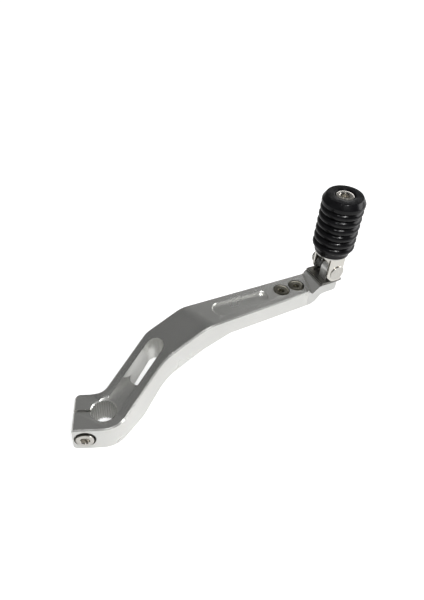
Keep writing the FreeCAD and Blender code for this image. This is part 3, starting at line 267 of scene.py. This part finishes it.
def turned_rings():
    """Lathe marks round a line through Centre along Axis: the sine of TAU times the distance from that line
    over Pitch, with a little drift."""
    tree, build, given, gives = new_group(
        "turned_rings",
        [("Vector", "NodeSocketVector", None), ("Centre", "NodeSocketVector", None),
         ("Axis", "NodeSocketVector", (0, 0, 1)), ("Pitch", "NodeSocketFloat", 0.0002)],
        [("Rings", "NodeSocketFloat")])
    offset = build.add("ShaderNodeVectorMath", operation="SUBTRACT")
    build.join(given.outputs["Vector"], offset.inputs[0])
    build.join(given.outputs["Centre"], offset.inputs[1])
    crossed = build.add("ShaderNodeVectorMath", operation="CROSS_PRODUCT")
    build.join(offset.outputs[0], crossed.inputs[0])
    build.join(given.outputs["Axis"], crossed.inputs[1])
    radius = build.add("ShaderNodeVectorMath", operation="LENGTH")
    build.join(crossed.outputs[0], radius.inputs[0])
    drift = build.math("MULTIPLY", build.noise(given.outputs["Vector"], 900, 2), 0.6)
    turns = build.math("ADD", build.math("DIVIDE", radius.outputs["Value"], given.outputs["Pitch"]), drift)
    wave = build.math("SINE", build.math("MULTIPLY", turns, TAU))
    build.join(wave, gives.inputs["Rings"])
    return tree


BLASTED = blasted_skin()
SCRATCHES = fine_scratches()
RINGS = turned_rings()


def new_finish(name, color, metallic, roughness):
    """Material with a Principled shader, and its Object coordinates."""
    finish = bpy.data.materials.new(name)
    finish.use_nodes = True
    build = Nodes(finish.node_tree)
    shader = finish.node_tree.nodes["Principled BSDF"]
    shader.inputs["Base Color"].default_value = (*color, 1)
    shader.inputs["Metallic"].default_value = metallic
    shader.inputs["Roughness"].default_value = roughness
    place = build.add("ShaderNodeTexCoord").outputs["Object"]
    return finish, build, shader, place


def bump(build, shader, height, strength, distance):
    """Relief of a height on the shader's normal."""
    node = build.add("ShaderNodeBump")
    node.inputs["Strength"].default_value = strength
    node.inputs["Distance"].default_value = distance
    build.join(height, node.inputs["Height"])
    build.join(node.outputs[0], shader.inputs["Normal"])


def tint(build, shader, mask, low, high):
    """Base colour between two colours by a mask."""
    mix = build.add("ShaderNodeMix", data_type="RGBA")
    mix.inputs["A"].default_value = (*low, 1)
    mix.inputs["B"].default_value = (*high, 1)
    build.join(mask, mix.inputs["Factor"])
    build.join(mix.outputs["Result"], shader.inputs["Base Color"])


def use_group(build, tree, place, **values):
    """A group node fed with a position and its own values."""
    node = build.add("ShaderNodeGroup", node_tree=tree)
    build.join(place, node.inputs["Vector"])
    for name, value in values.items():
        node.inputs[name].default_value = value
    return node


# Milled marks: the ends of the shallow pocket's middle line from the peg, the height of its floor, and the
# cutter's steps in the pocket and up the ramp.
POCKET_NEAR_BOSS = -67.0 * MM
POCKET_NEAR_PEG = -42.3 * MM
POCKET_FLOOR = 32.0 * MM
POCKET_CUTTER_STEP = 1.25 * MM
RAMP_HEADING = math.radians(15.6)
RAMP_CLIMB = (math.cos(RAMP_HEADING), math.sin(RAMP_HEADING), 0)
RAMP_CUTTER_STEP = 0.9 * MM

# The metal under the clear anodising shows almost bare, and its pebble is faint where a cutter has passed.
ANODISED_METAL = 0.92
MILLED_PEBBLE = 0.02
BLASTED_PEBBLE = 0.2


def anodised(name, light, dark, roughness, grain, milled=False):
    """Aluminium under clear anodising: pebble relief, clouded tone and gloss, cutter marks where milled."""
    finish, build, shader, place = new_finish(name, light, ANODISED_METAL, roughness)
    skin = use_group(build, BLASTED, place, Grain=grain)
    tint(build, shader, build.span(skin.outputs["Cloud"], 0.3, 0.7, 0, 1), dark, light)
    build.join(build.span(skin.outputs["Cloud"], 0.3, 0.7, roughness - 0.03, roughness + 0.03),
               shader.inputs["Roughness"])
    height = build.math("MULTIPLY", skin.outputs["Height"], MILLED_PEBBLE if milled else BLASTED_PEBBLE)
    for lines in cutter_lines(build, place) if milled else ():
        height = build.math("ADD", height, lines)
    bump(build, shader, height, 0.5, 0.00001)
    return finish


def cutter_lines(build, place):
    """Marks of the milling cutter on the arm, as two heights: rings that follow the shallow pocket, by the
    distance from its middle line, and steps across the ramp, by the distance along its climb."""
    from_peg = build.add("ShaderNodeVectorMath", operation="SUBTRACT")
    from_peg.inputs[1].default_value = PIVOT
    build.join(place, from_peg.inputs[0])
    reach = []
    for direction in (ALONG, ACROSS):
        dot = build.add("ShaderNodeVectorMath", operation="DOT_PRODUCT")
        dot.inputs[1].default_value = direction
        build.join(from_peg.outputs[0], dot.inputs[0])
        reach.append(dot.outputs["Value"])
    past_end = build.math("MAXIMUM", build.math("SUBTRACT", POCKET_NEAR_BOSS, reach[0]),
                          build.math("SUBTRACT", reach[0], POCKET_NEAR_PEG))
    past_end = build.math("MAXIMUM", past_end, 0.0)
    distance = build.math("SQRT", build.math("ADD", build.math("MULTIPLY", past_end, past_end),
                                             build.math("MULTIPLY", reach[1], reach[1])))
    rings = build.math("SINE", build.math("MULTIPLY", distance, TAU / POCKET_CUTTER_STEP))
    split = build.add("ShaderNodeSeparateXYZ")
    build.join(place, split.inputs[0])
    level = split.outputs["Z"]
    in_pocket = build.math("COMPARE", level, POCKET_FLOOR)
    in_pocket.node.inputs[2].default_value = 0.1 * MM
    facing = build.add("ShaderNodeSeparateXYZ")
    build.join(build.add("ShaderNodeNewGeometry").outputs["Normal"], facing.inputs[0])
    on_ramp = build.math("MULTIPLY", build.math("GREATER_THAN", facing.outputs["Z"], 0.9),
                         build.math("LESS_THAN", facing.outputs["X"], -0.1))
    climb = build.add("ShaderNodeVectorMath", operation="DOT_PRODUCT")
    climb.inputs[1].default_value = RAMP_CLIMB
    build.join(place, climb.inputs[0])
    steps = build.math("SINE", build.math("MULTIPLY", climb.outputs["Value"], TAU / RAMP_CUTTER_STEP))
    return (build.math("MULTIPLY", build.math("MULTIPLY", rings, in_pocket), 1.3),
            build.math("MULTIPLY", build.math("MULTIPLY", steps, on_ramp), 0.8))


def bright_steel(name, light, dark, roughness, centre=None, axis=None, pitch=0.0002):
    """Plated steel: slow tone change and hairlines, with lathe rings where a centre is given."""
    finish, build, shader, place = new_finish(name, light, 1.0, roughness)
    lines = use_group(build, SCRATCHES, place)
    cloud = build.span(build.noise(place, 220, 3), 0.35, 0.65, 0, 1)
    tint(build, shader, cloud, dark, light)
    gloss = build.math("ADD", build.span(cloud, 0, 1, roughness - 0.04, roughness + 0.05),
                       build.math("MULTIPLY", lines.outputs["Scratch"], 0.15))
    build.join(gloss, shader.inputs["Roughness"])
    height = build.math("MULTIPLY", lines.outputs["Scratch"], -0.3)
    if centre is not None:
        rings = use_group(build, RINGS, place, Centre=centre, Axis=axis, Pitch=pitch)
        height = build.math("ADD", height, rings.outputs["Rings"])
    bump(build, shader, height, 0.12, 0.00001)
    return finish


ARM_SILVER = anodised("blasted_arm_aluminium", (0.86, 0.86, 0.835), (0.81, 0.81, 0.785), 0.25, 9000,
                      milled=True)
BRACKET_SILVER = anodised("machined_bracket_aluminium", (0.80, 0.80, 0.78), (0.74, 0.74, 0.72), 0.33, 12000)
SCREW_STEEL = bright_steel("plated_screw_steel", (0.78, 0.755, 0.70), (0.66, 0.64, 0.60), 0.16)
# The tip screws' steel is painted much darker than the clamp screw's plating: a painted shade that stands in for
# the shade in their counterbores.
TIP_SCREW_STEEL_PAINTED_SHADE = bright_steel("tip_screw_steel_painted_shade", (0.46, 0.44, 0.37), (0.24, 0.23, 0.19), 0.20)
WASHER_STEEL = bright_steel("plated_washer_steel", (0.76, 0.75, 0.72), (0.66, 0.65, 0.62), 0.20)
CLEVIS_CHROME = bright_steel("polished_clevis_chrome", (0.84, 0.82, 0.765), (0.80, 0.775, 0.72), 0.09)
PIN_STEEL = bright_steel("turned_pin_steel", (0.74, 0.725, 0.68), (0.68, 0.66, 0.62), 0.22,
                         tuple(PIVOT), tuple(ACROSS), 0.00022)


PLATE_STRIPE = 0.85 * MM


def striped_plate():
    """Dark steel plate with lighter ground stripes that run across it, by the distance down its slope."""
    finish, build, shader, place = new_finish("striped_plate_steel", (0.16, 0.155, 0.145), 0.9, 0.3)
    slant = build.add("ShaderNodeVectorMath", operation="DOT_PRODUCT")
    slant.inputs[1].default_value = ALONG - UP
    build.join(place, slant.inputs[0])
    wave = build.math("SINE", build.math("MULTIPLY", slant.outputs["Value"], TAU / PLATE_STRIPE))
    stripe = build.span(build.math("ADD", wave, build.math("MULTIPLY", build.noise(place, 1500, 2), 0.5)),
                        0.3, 1.1, 0, 1)
    tint(build, shader, stripe, (0.10, 0.098, 0.09), (0.42, 0.41, 0.38))
    bump(build, shader, stripe, 0.3, 0.00002)
    return finish


PLATE_STEEL = striped_plate()
BUSH_BRONZE = bright_steel("sintered_bush_bronze", (0.56, 0.40, 0.19), (0.42, 0.30, 0.15), 0.38)
CLIP_BLACK = bright_steel("blackened_clip_steel", (0.09, 0.09, 0.09), (0.05, 0.05, 0.05), 0.35)
SPRING_BLACK = bright_steel("oiled_spring_steel", (0.16, 0.16, 0.155), (0.09, 0.09, 0.09), 0.25)


def moulded_rubber():
    """Glossy black rubber: faint pebble and slow changes of tone and gloss."""
    finish, build, shader, place = new_finish("moulded_peg_rubber", (0.004, 0.004, 0.005), 0.0, 0.2)
    shader.inputs["Specular IOR Level"].default_value = 0.26
    cloud = build.span(build.noise(place, 260, 4), 0.35, 0.65, 0, 1)
    tint(build, shader, cloud, (0.002, 0.002, 0.0025), (0.005, 0.005, 0.006))
    build.join(build.span(cloud, 0, 1, 0.14, 0.24), shader.inputs["Roughness"])
    bump(build, shader, build.noise(place, 2600, 2), 0.05, 0.00002)
    return finish


PEG_RUBBER = moulded_rubber()


def floor_finish():
    """Pale matt sheet with a very faint mottle, which glows a little where the camera sees it directly."""
    finish, build, shader, place = new_finish("pale_floor", (0.70, 0.70, 0.70), 0.0, 0.9)
    tint(build, shader, build.noise(place, 30, 3), (0.695, 0.695, 0.695), (0.705, 0.705, 0.705))
    shader.inputs["Specular IOR Level"].default_value = 0.1
    shader.inputs["Emission Color"].default_value = (1, 1, 1, 1)
    seen = build.add("ShaderNodeLightPath").outputs["Is Camera Ray"]
    build.join(build.math("MULTIPLY", seen, 0.6), shader.inputs["Emission Strength"])
    return finish


# ------------------------------------------------------------------------------------------------------------
# Surfaces
# ------------------------------------------------------------------------------------------------------------


def grid_mesh(name, points, close_rows, finish, smooth_angle=35.0):
    """Mesh from a grid of points (rows, columns, 3). Columns close on themselves, and rows too if asked. A row
    of equal points is a pole: the mesh is merged there."""
    rows, columns = points.shape[:2]
    index = np.arange(rows * columns).reshape(rows, columns)
    if close_rows:
        index = np.vstack([index, index[:1]])
    right = np.roll(index, -1, axis=1)
    faces = np.stack([index[:-1], right[:-1], right[1:], index[1:]], axis=-1).reshape(-1, 4)
    mesh = bpy.data.meshes.new(name)
    mesh.from_pydata(points.reshape(-1, 3).tolist(), [], faces.tolist())
    return finish_mesh(name, mesh, finish, smooth_angle)


def finish_mesh(name, mesh, finish, smooth_angle=35.0):
    """Merge poles, turn the faces outwards, shade smooth but for edges over an angle, and link the object."""
    shape = bmesh.new()
    shape.from_mesh(mesh)
    bmesh.ops.remove_doubles(shape, verts=shape.verts, dist=1e-7)
    bmesh.ops.recalc_face_normals(shape, faces=shape.faces)
    shape.to_mesh(mesh)
    shape.free()
    mesh.shade_smooth()
    mesh.set_sharp_from_angle(angle=math.radians(smooth_angle))
    mesh.materials.append(finish)
    piece = bpy.data.objects.new(name, mesh)
    bpy.context.scene.collection.objects.link(piece)
    return piece


def frame_points(flat, origin, x_axis, y_axis, z_axis):
    """Points given along three axes, as points of the part's frame."""
    axes = np.array([x_axis, y_axis, z_axis], float)
    return flat @ axes + np.array(origin, float)


def round_piece(name, profile, columns, origin, axis, finish):
    """Surface of revolution. The profile's rows are (radius, height); the point at angle a is
    (radius cos a, radius sin a, height) in axes whose third is the piece's own."""
    axis = Vector(axis).normalized()
    side = axis.orthogonal().normalized()
    other = axis.cross(side)
    angle = np.linspace(0, TAU, columns, endpoint=False)
    radius = profile[:, 0][:, None]
    height = np.repeat(profile[:, 1][:, None], columns, axis=1)
    flat = np.stack([radius * np.cos(angle), radius * np.sin(angle), height], axis=-1)
    return grid_mesh(name, frame_points(flat, origin, side, other, axis), True, finish)


def arc_rows(centre, radius, start, end, count):
    """Profile rows on an arc, angles in degrees."""
    turn = np.radians(np.linspace(start, end, count))
    return np.stack([centre[0] + radius * np.cos(turn), centre[1] + radius * np.sin(turn)], axis=1)


KNURL_COUNT = 48
KNURL_DEPTH = 0.09 * MM
HEAD_EDGE = 0.45 * MM
THREAD_START = 0.6 * MM


def socket_screw(name, origin, axis, head_radius, head_height, hexagon, depth, shank_radius, length, pitch,
                 finish):
    """Hex-socket cap screw, head first along axis from the seat under its head.
    Each row of the grid has a height and a radius that may change with the angle a: the socket's wall follows
    the hexagon, half its width over cos(a folded into one sixth); the head's side is knurled by half the depth
    times (1 - cos(count a)); the thread is a triangle wave of depth minus pitch times the turn."""
    axis = Vector(axis).normalized()
    side = axis.orthogonal().normalized()
    other = axis.cross(side)
    columns = 144
    angle = np.linspace(0, TAU, columns, endpoint=False)
    folded = np.mod(angle, TAU / 6) - TAU / 12
    flat = hexagon / 2 / np.cos(folded)
    mouth = np.full(columns, hexagon / math.sqrt(3) + 0.12 * MM)
    edge = HEAD_EDGE
    one = np.ones(columns)
    side_radius = head_radius - KNURL_DEPTH / 2 * (1 - np.cos(angle * KNURL_COUNT))
    floor = head_height - depth
    rows = [
        (0 * one, floor - hexagon * 0.22),
        (flat * 0.5, floor - hexagon * 0.11),
        (flat, floor),
        (flat, (floor + head_height) / 2),
        (flat, head_height - 0.35 * MM),
        (mouth, head_height),
        (mouth * 0.4 + (head_radius - edge) * 0.6, head_height),
        ((head_radius - edge) * one, head_height),
        ((head_radius - edge * 0.35) * one, head_height - edge * 0.3),
        (head_radius * one * 0.999, head_height - edge),
        (side_radius, head_height - edge * 1.4),
        (side_radius, 0.5 * MM),
        (head_radius * one * 0.999, 0.3 * MM),
        ((head_radius - 0.2 * MM) * one, 0.0),
        (shank_radius * one, 0.0),
    ]
    radii = np.array([row[0] for row in rows])
    heights = np.array([row[1] * one for row in rows])
    thread = np.arange(THREAD_START, length - 0.5 * MM, pitch / 7)[:, None]
    phase = np.mod((thread - pitch * angle / TAU) / pitch, 1.0)
    cut = np.minimum(1.0, 2.4 * np.abs(phase - 0.5))
    runout = np.clip((thread - THREAD_START) / pitch, 0, 1) * np.clip((length - thread) / pitch, 0.4, 1)
    thread_radius = shank_radius - 0.55 * pitch * (1 - cut) * runout
    tip = np.array([shank_radius - 0.5 * MM, 0.0])[:, None] * one
    radii = np.vstack([radii, thread_radius, tip])
    heights = np.vstack([heights, -thread * one, -length * np.ones((2, columns))])
    points = np.stack([radii * np.cos(angle), radii * np.sin(angle), heights], axis=-1)
    return grid_mesh(name, frame_points(points, origin, side, other, axis), False, finish, 28.0)


# ------------------------------------------------------------------------------------------------------------
# Ribbed rubber of the toe peg
# ------------------------------------------------------------------------------------------------------------

RUBBER_LOW, RUBBER_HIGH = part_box("rubber_sleeve")
PEG_FOOT = RUBBER_LOW.z
PEG_TOP = RUBBER_HIGH.z
RIB_RADIUS = (RUBBER_HIGH.x - RUBBER_LOW.x) / 2 - 0.02 * MM
COLLAR_RADIUS = 9.5 * MM
GROOVE_RADIUS = 9.95 * MM
RIB_PITCH = 4.35 * MM
RIB_FIRST = 57.7 * MM
RIB_COUNT = 6
CAP_RADIUS = RIB_RADIUS
CAP_TOP_RADIUS = 9.5 * MM
CAP_FOOT = PEG_TOP - 5.4 * MM
CAP_BEVEL = PEG_TOP - 2.9 * MM
RECESS_RADIUS = 5.4 * MM
RECESS_DEPTH = 4.9 * MM
BORE_RADIUS = 4.56 * MM
COLLAR_CHAMFER = 0.3 * MM
CAP_FOOT_ROUND = 0.8 * MM
KNEE_ROUND = 0.9 * MM
KNEE_DROP = 0.35 * MM
CROWN_ROUND = 0.7 * MM
CROWN_INSET = 0.25 * MM
LIP_ROUND = 0.35 * MM
ROWS_PER_RIB = 22


def rubber_profile():
    """Half section of the rubber, from the bore's foot, out and up over collar and ribs, over the cap and down
    the recess. Between two ribs the radius is groove + rise * |cos(pi z / pitch)| ** 0.75, which gives round
    ribs with narrow grooves. Corners of the cap are arcs."""
    rise = RIB_RADIUS - GROOVE_RADIUS
    start = RIB_FIRST - RIB_PITCH / 2
    end = RIB_FIRST + (RIB_COUNT - 0.5) * RIB_PITCH
    z = np.linspace(start, end, RIB_COUNT * ROWS_PER_RIB + 1)
    bulge = np.abs(np.cos(math.pi * (z - RIB_FIRST) / RIB_PITCH)) ** 0.75
    ribs = np.stack([GROOVE_RADIUS + rise * bulge, z], axis=1)
    shoulder = 0.5 * MM
    foot = np.array([
        [BORE_RADIUS, PEG_FOOT],
        [COLLAR_RADIUS - COLLAR_CHAMFER, PEG_FOOT],
        [COLLAR_RADIUS, PEG_FOOT + COLLAR_CHAMFER],
        [COLLAR_RADIUS, start - shoulder * 1.6],
        [COLLAR_RADIUS + 0.12 * MM, start - shoulder * 0.8],
    ])
    foot_arc = arc_rows((CAP_RADIUS - CAP_FOOT_ROUND, CAP_FOOT + CAP_FOOT_ROUND), CAP_FOOT_ROUND, -80, 0, 8)
    lean = math.atan2(PEG_TOP - CAP_BEVEL, CAP_RADIUS - CAP_TOP_RADIUS)
    square = math.degrees(lean)
    knee = arc_rows((CAP_RADIUS - KNEE_ROUND, CAP_BEVEL - KNEE_DROP), KNEE_ROUND, 0, 90 - square, 6)
    crown = arc_rows((CAP_TOP_RADIUS - CROWN_INSET, PEG_TOP - CROWN_ROUND), CROWN_ROUND, 90 - square, 90, 8)
    lip = arc_rows((RECESS_RADIUS + LIP_ROUND, PEG_TOP - LIP_ROUND), LIP_ROUND, 90, 180, 6)
    recess = np.array([
        [RECESS_RADIUS, PEG_TOP - 2.5 * MM],
        [RECESS_RADIUS, PEG_TOP - RECESS_DEPTH],
        [BORE_RADIUS, PEG_TOP - RECESS_DEPTH],
        [BORE_RADIUS, PEG_TOP - 15 * MM],
        [BORE_RADIUS, PEG_FOOT + 12 * MM],
    ])
    return np.vstack([foot, ribs, foot_arc, knee, crown, lip, recess])


rubber = round_piece("ribbed_rubber", rubber_profile(), 200, (PIVOT.x, PIVOT.y, 0), UP, PEG_RUBBER)
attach(rubber, "toe_peg")
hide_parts("rubber_sleeve")

# ------------------------------------------------------------------------------------------------------------
# Socket screws
# ------------------------------------------------------------------------------------------------------------


def seated_screw(name, node, body, axis, head_radius, head_height, hexagon, depth, shank_radius, length, pitch,
                 solid_middle=None, finish=SCREW_STEEL):
    """Socket screw in the place of a CAD screw: its outer end is the node's furthest reach along the axis, and
    its centre is the middle of the node's points across the axis, or a given solid's middle."""
    obj = frame["nodes"][node]
    places = np.empty(len(obj.data.vertices) * 3)
    obj.data.vertices.foreach_get("co", places)
    places = places.reshape(-1, 3)
    along = places @ np.array(axis)
    across = places - np.outer(along, np.array(axis))
    if solid_middle is None:
        centre = (across.max(0) + across.min(0)) / 2
    else:
        centre = np.array(solid_middle) - np.array(axis) * (np.array(solid_middle) @ np.array(axis))
    seat = centre + np.array(axis) * (along.max() - head_height)
    screw = socket_screw(name, seat, axis, head_radius, head_height, hexagon, depth,
                         shank_radius, length, pitch, finish)
    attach(screw, body)
    return screw


BOSS_TURN = math.radians(-31.2)
BOSS_OUTWARD = (math.sin(BOSS_TURN), -math.cos(BOSS_TURN), 0)
M5_HEAD_RADIUS = 4.24 * MM
M5_SHANK_RADIUS = 2.44 * MM
M5_PITCH = 0.8 * MM
clamp_screw = seated_screw("clamp_cap_screw", "clamp_bolt", "lever", BOSS_OUTWARD,
                           M5_HEAD_RADIUS, head_height=5.0 * MM, hexagon=4.0 * MM, depth=2.5 * MM,
                           shank_radius=M5_SHANK_RADIUS, length=16.0 * MM, pitch=M5_PITCH)
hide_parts("clamp_bolt")

end_screw = seated_screw("peg_end_screw", "end_screw", "toe_peg", (0, 0, 1),
                         head_radius=4.79 * MM, head_height=3.6 * MM, hexagon=5.0 * MM, depth=2.6 * MM,
                         shank_radius=2.94 * MM, length=14.0 * MM, pitch=1.0 * MM)
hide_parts("end_screw")

# Places of the two bracket screws along the outer leg, from the peg.
SCREW_OUTER = -19.8 * MM
SCREW_SPACING = 9.8 * MM
tip_pair = [
    seated_screw(f"tip_screw_{index + 1}", "tip_screws", "lever", (0, 0, 1),
                 M5_HEAD_RADIUS, head_height=3.5 * MM, hexagon=3.0 * MM, depth=2.0 * MM,
                 shank_radius=M5_SHANK_RADIUS, length=5.9 * MM, pitch=M5_PITCH,
                 solid_middle=PIVOT + ALONG * (SCREW_OUTER - index * SCREW_SPACING), finish=TIP_SCREW_STEEL_PAINTED_SHADE)
    for index in range(2)
]
for screw in tip_pair:
    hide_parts("tip_screws")

# ------------------------------------------------------------------------------------------------------------
# Torsion spring
# ------------------------------------------------------------------------------------------------------------

WIRE_RADIUS = 0.55 * MM
COIL_RADIUS = 4.05 * MM
COIL_FROM = 0.9 * MM
COIL_PITCH = 1.27 * MM
COIL_TURNS = 3
COIL_LAST = COIL_FROM + COIL_PITCH * COIL_TURNS


def spring_path():
    """Centre line of the wire: down the upper leg, round the pin, down the lower leg. On the coil the point at
    turn t is radius * (-cos, -sin) across the pin's axis, moved along it by pitch * t."""
    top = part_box("clevis")[1].z - 2.7 * MM
    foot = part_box("torsion_spring")[0].z + 0.02 * MM
    turn = np.linspace(0, TAU * COIL_TURNS, COIL_TURNS * 48 + 1)
    coil = np.stack([-COIL_RADIUS * np.cos(turn), COIL_FROM + COIL_PITCH * turn / TAU,
                     PIVOT.z - COIL_RADIUS * np.sin(turn)], axis=1)
    upper_z = np.linspace(top, PIVOT.z, 10, endpoint=False)
    lower_z = np.linspace(PIVOT.z, foot, 11)[1:]
    upper = np.stack([0 * upper_z - COIL_RADIUS, 0 * upper_z + COIL_FROM, upper_z], axis=1)
    lower = np.stack([0 * lower_z - COIL_RADIUS, 0 * lower_z + COIL_LAST, lower_z], axis=1)
    return np.vstack([upper, coil, lower])


def wire_mesh(name, path, radius, finish, columns=14):
    """Round wire along a path: a ring of points at each step in the plane across the path, and flat ends."""
    ahead = np.gradient(path, axis=0)
    ahead /= np.linalg.norm(ahead, axis=1)[:, None]
    lead = np.array([0.0, 1.0, 0.0])
    side = np.cross(ahead, lead)
    side /= np.linalg.norm(side, axis=1)[:, None]
    other = np.cross(side, ahead)
    angle = np.linspace(0, TAU, columns, endpoint=False)
    ring = (np.cos(angle)[None, :, None] * side[:, None] + np.sin(angle)[None, :, None] * other[:, None])
    tube = path[:, None] + radius * ring
    ends = [np.repeat(path[:1, None], columns, axis=1), np.repeat(path[-1:, None], columns, axis=1)]
    points = np.vstack([ends[0], tube, ends[1]])
    placed = frame_points(points, (PIVOT.x, PIVOT.y, 0), ALONG, ACROSS, UP)
    return grid_mesh(name, placed, False, finish)


spring = wire_mesh("torsion_coil", spring_path(), WIRE_RADIUS, SPRING_BLACK)
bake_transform(spring)
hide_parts("torsion_spring")

# ------------------------------------------------------------------------------------------------------------
# Machined pieces: copies of the CAD nodes with their edges broken
# ------------------------------------------------------------------------------------------------------------

# Node: the shown piece's name, its body, its material slot, its finish and the width of its broken edges in mm.
MACHINED_PIECES = {
    "lever_arm": ("cranked_arm", "lever", "arm_aluminium", ARM_SILVER, 0.10),
    "clamp_lock_washer": ("clamp_spring_washer", "lever", "washer_steel", WASHER_STEEL, 0.10),
    "clamp_washer": ("clamp_flat_washer", "lever", "washer_steel", WASHER_STEEL, 0.10),
    "tip_bracket": ("peg_bracket", "lever", "bracket_aluminium", BRACKET_SILVER, 0.12),
    "stop_plate": ("peg_stop_plate", "lever", "plate_steel", PLATE_STEEL, 0.10),
    "pivot_bush": ("lug_bush", "lever", "bush_bronze", BUSH_BRONZE, 0.10),
    "clevis": ("peg_clevis", "toe_peg", "clevis_chrome", CLEVIS_CHROME, 0.22),
    "pivot_pin": ("headed_pin", "toe_peg", "pin_steel", PIN_STEEL, 0.05),
    "pivot_washer": ("pin_washer", "toe_peg", "washer_steel", WASHER_STEEL, 0.08),
    "pivot_clip": ("pin_clip", "toe_peg", "clip_steel", CLIP_BLACK, 0.08),
    "peg_spindle": ("riveted_spindle", "toe_peg", "fastener_steel", WASHER_STEEL, 0.10),
    "peg_base_washer": ("peg_foot_washer", "toe_peg", "washer_steel", WASHER_STEEL, 0.10),
    "end_washer": ("peg_end_washer", "toe_peg", "washer_steel", WASHER_STEEL, 0.10),
}


# Angles in degrees: faces within the first are one flat, edges over the second are sharp, and edges over the
# third are broken.
FLAT_ANGLE = 0.4
SHARP_ANGLE = 28
BROKEN_ANGLE = 32


def break_edges(node, name, body, finish, width):
    """Copy of a CAD node with merged points and flat faces made whole, its edges broken by a small round."""
    shape = bmesh.new()
    shape.from_mesh(frame["nodes"][node].data)
    bmesh.ops.remove_doubles(shape, verts=shape.verts, dist=1e-6)
    bmesh.ops.dissolve_limit(shape, angle_limit=math.radians(FLAT_ANGLE), verts=shape.verts,
                             edges=shape.edges)
    mesh = bpy.data.meshes.new(name)
    shape.to_mesh(mesh)
    shape.free()
    mesh.shade_smooth()
    mesh.set_sharp_from_angle(angle=math.radians(SHARP_ANGLE))
    mesh.materials.append(finish)
    piece = bpy.data.objects.new(name, mesh)
    bpy.context.scene.collection.objects.link(piece)
    bevel = piece.modifiers.new("broken_edges", "BEVEL")
    bevel.width = width * MM
    bevel.segments = 2
    bevel.limit_method = "ANGLE"
    bevel.angle_limit = math.radians(BROKEN_ANGLE)
    bevel.harden_normals = True
    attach(piece, body)
    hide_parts(node)
    return piece


for node, (name, body, slot, finish, width) in MACHINED_PIECES.items():
    break_edges(node, name, body, finish, width)
NODE_FINISH = {node: finish for node, (_, _, _, finish, _) in MACHINED_PIECES.items()}
NODE_FINISH["rubber_sleeve"] = PEG_RUBBER
NODE_FINISH["torsion_spring"] = SPRING_BLACK
# The tip screws' node takes the steel with the painted shade.
NODE_FINISH["tip_screws"] = TIP_SCREW_STEEL_PAINTED_SHADE
for name, node in frame["nodes"].items():
    node.data.materials[0] = NODE_FINISH.get(name, SCREW_STEEL)


def lay_floor():
    """Plain pale floor under the boss."""
    half = FLOOR_SIZE / 2
    ground = CAD_BOX[0][2] - 0.05 * MM
    corners = [(-half, -half, ground), (half, -half, ground), (half, half, ground), (-half, half, ground)]
    mesh = bpy.data.meshes.new("floor")
    mesh.from_pydata(corners, [], [(0, 1, 2, 3)])
    mesh.materials.append(floor_finish())
    floor = bpy.data.objects.new("floor", mesh)
    bpy.context.scene.collection.objects.link(floor)


lay_floor()
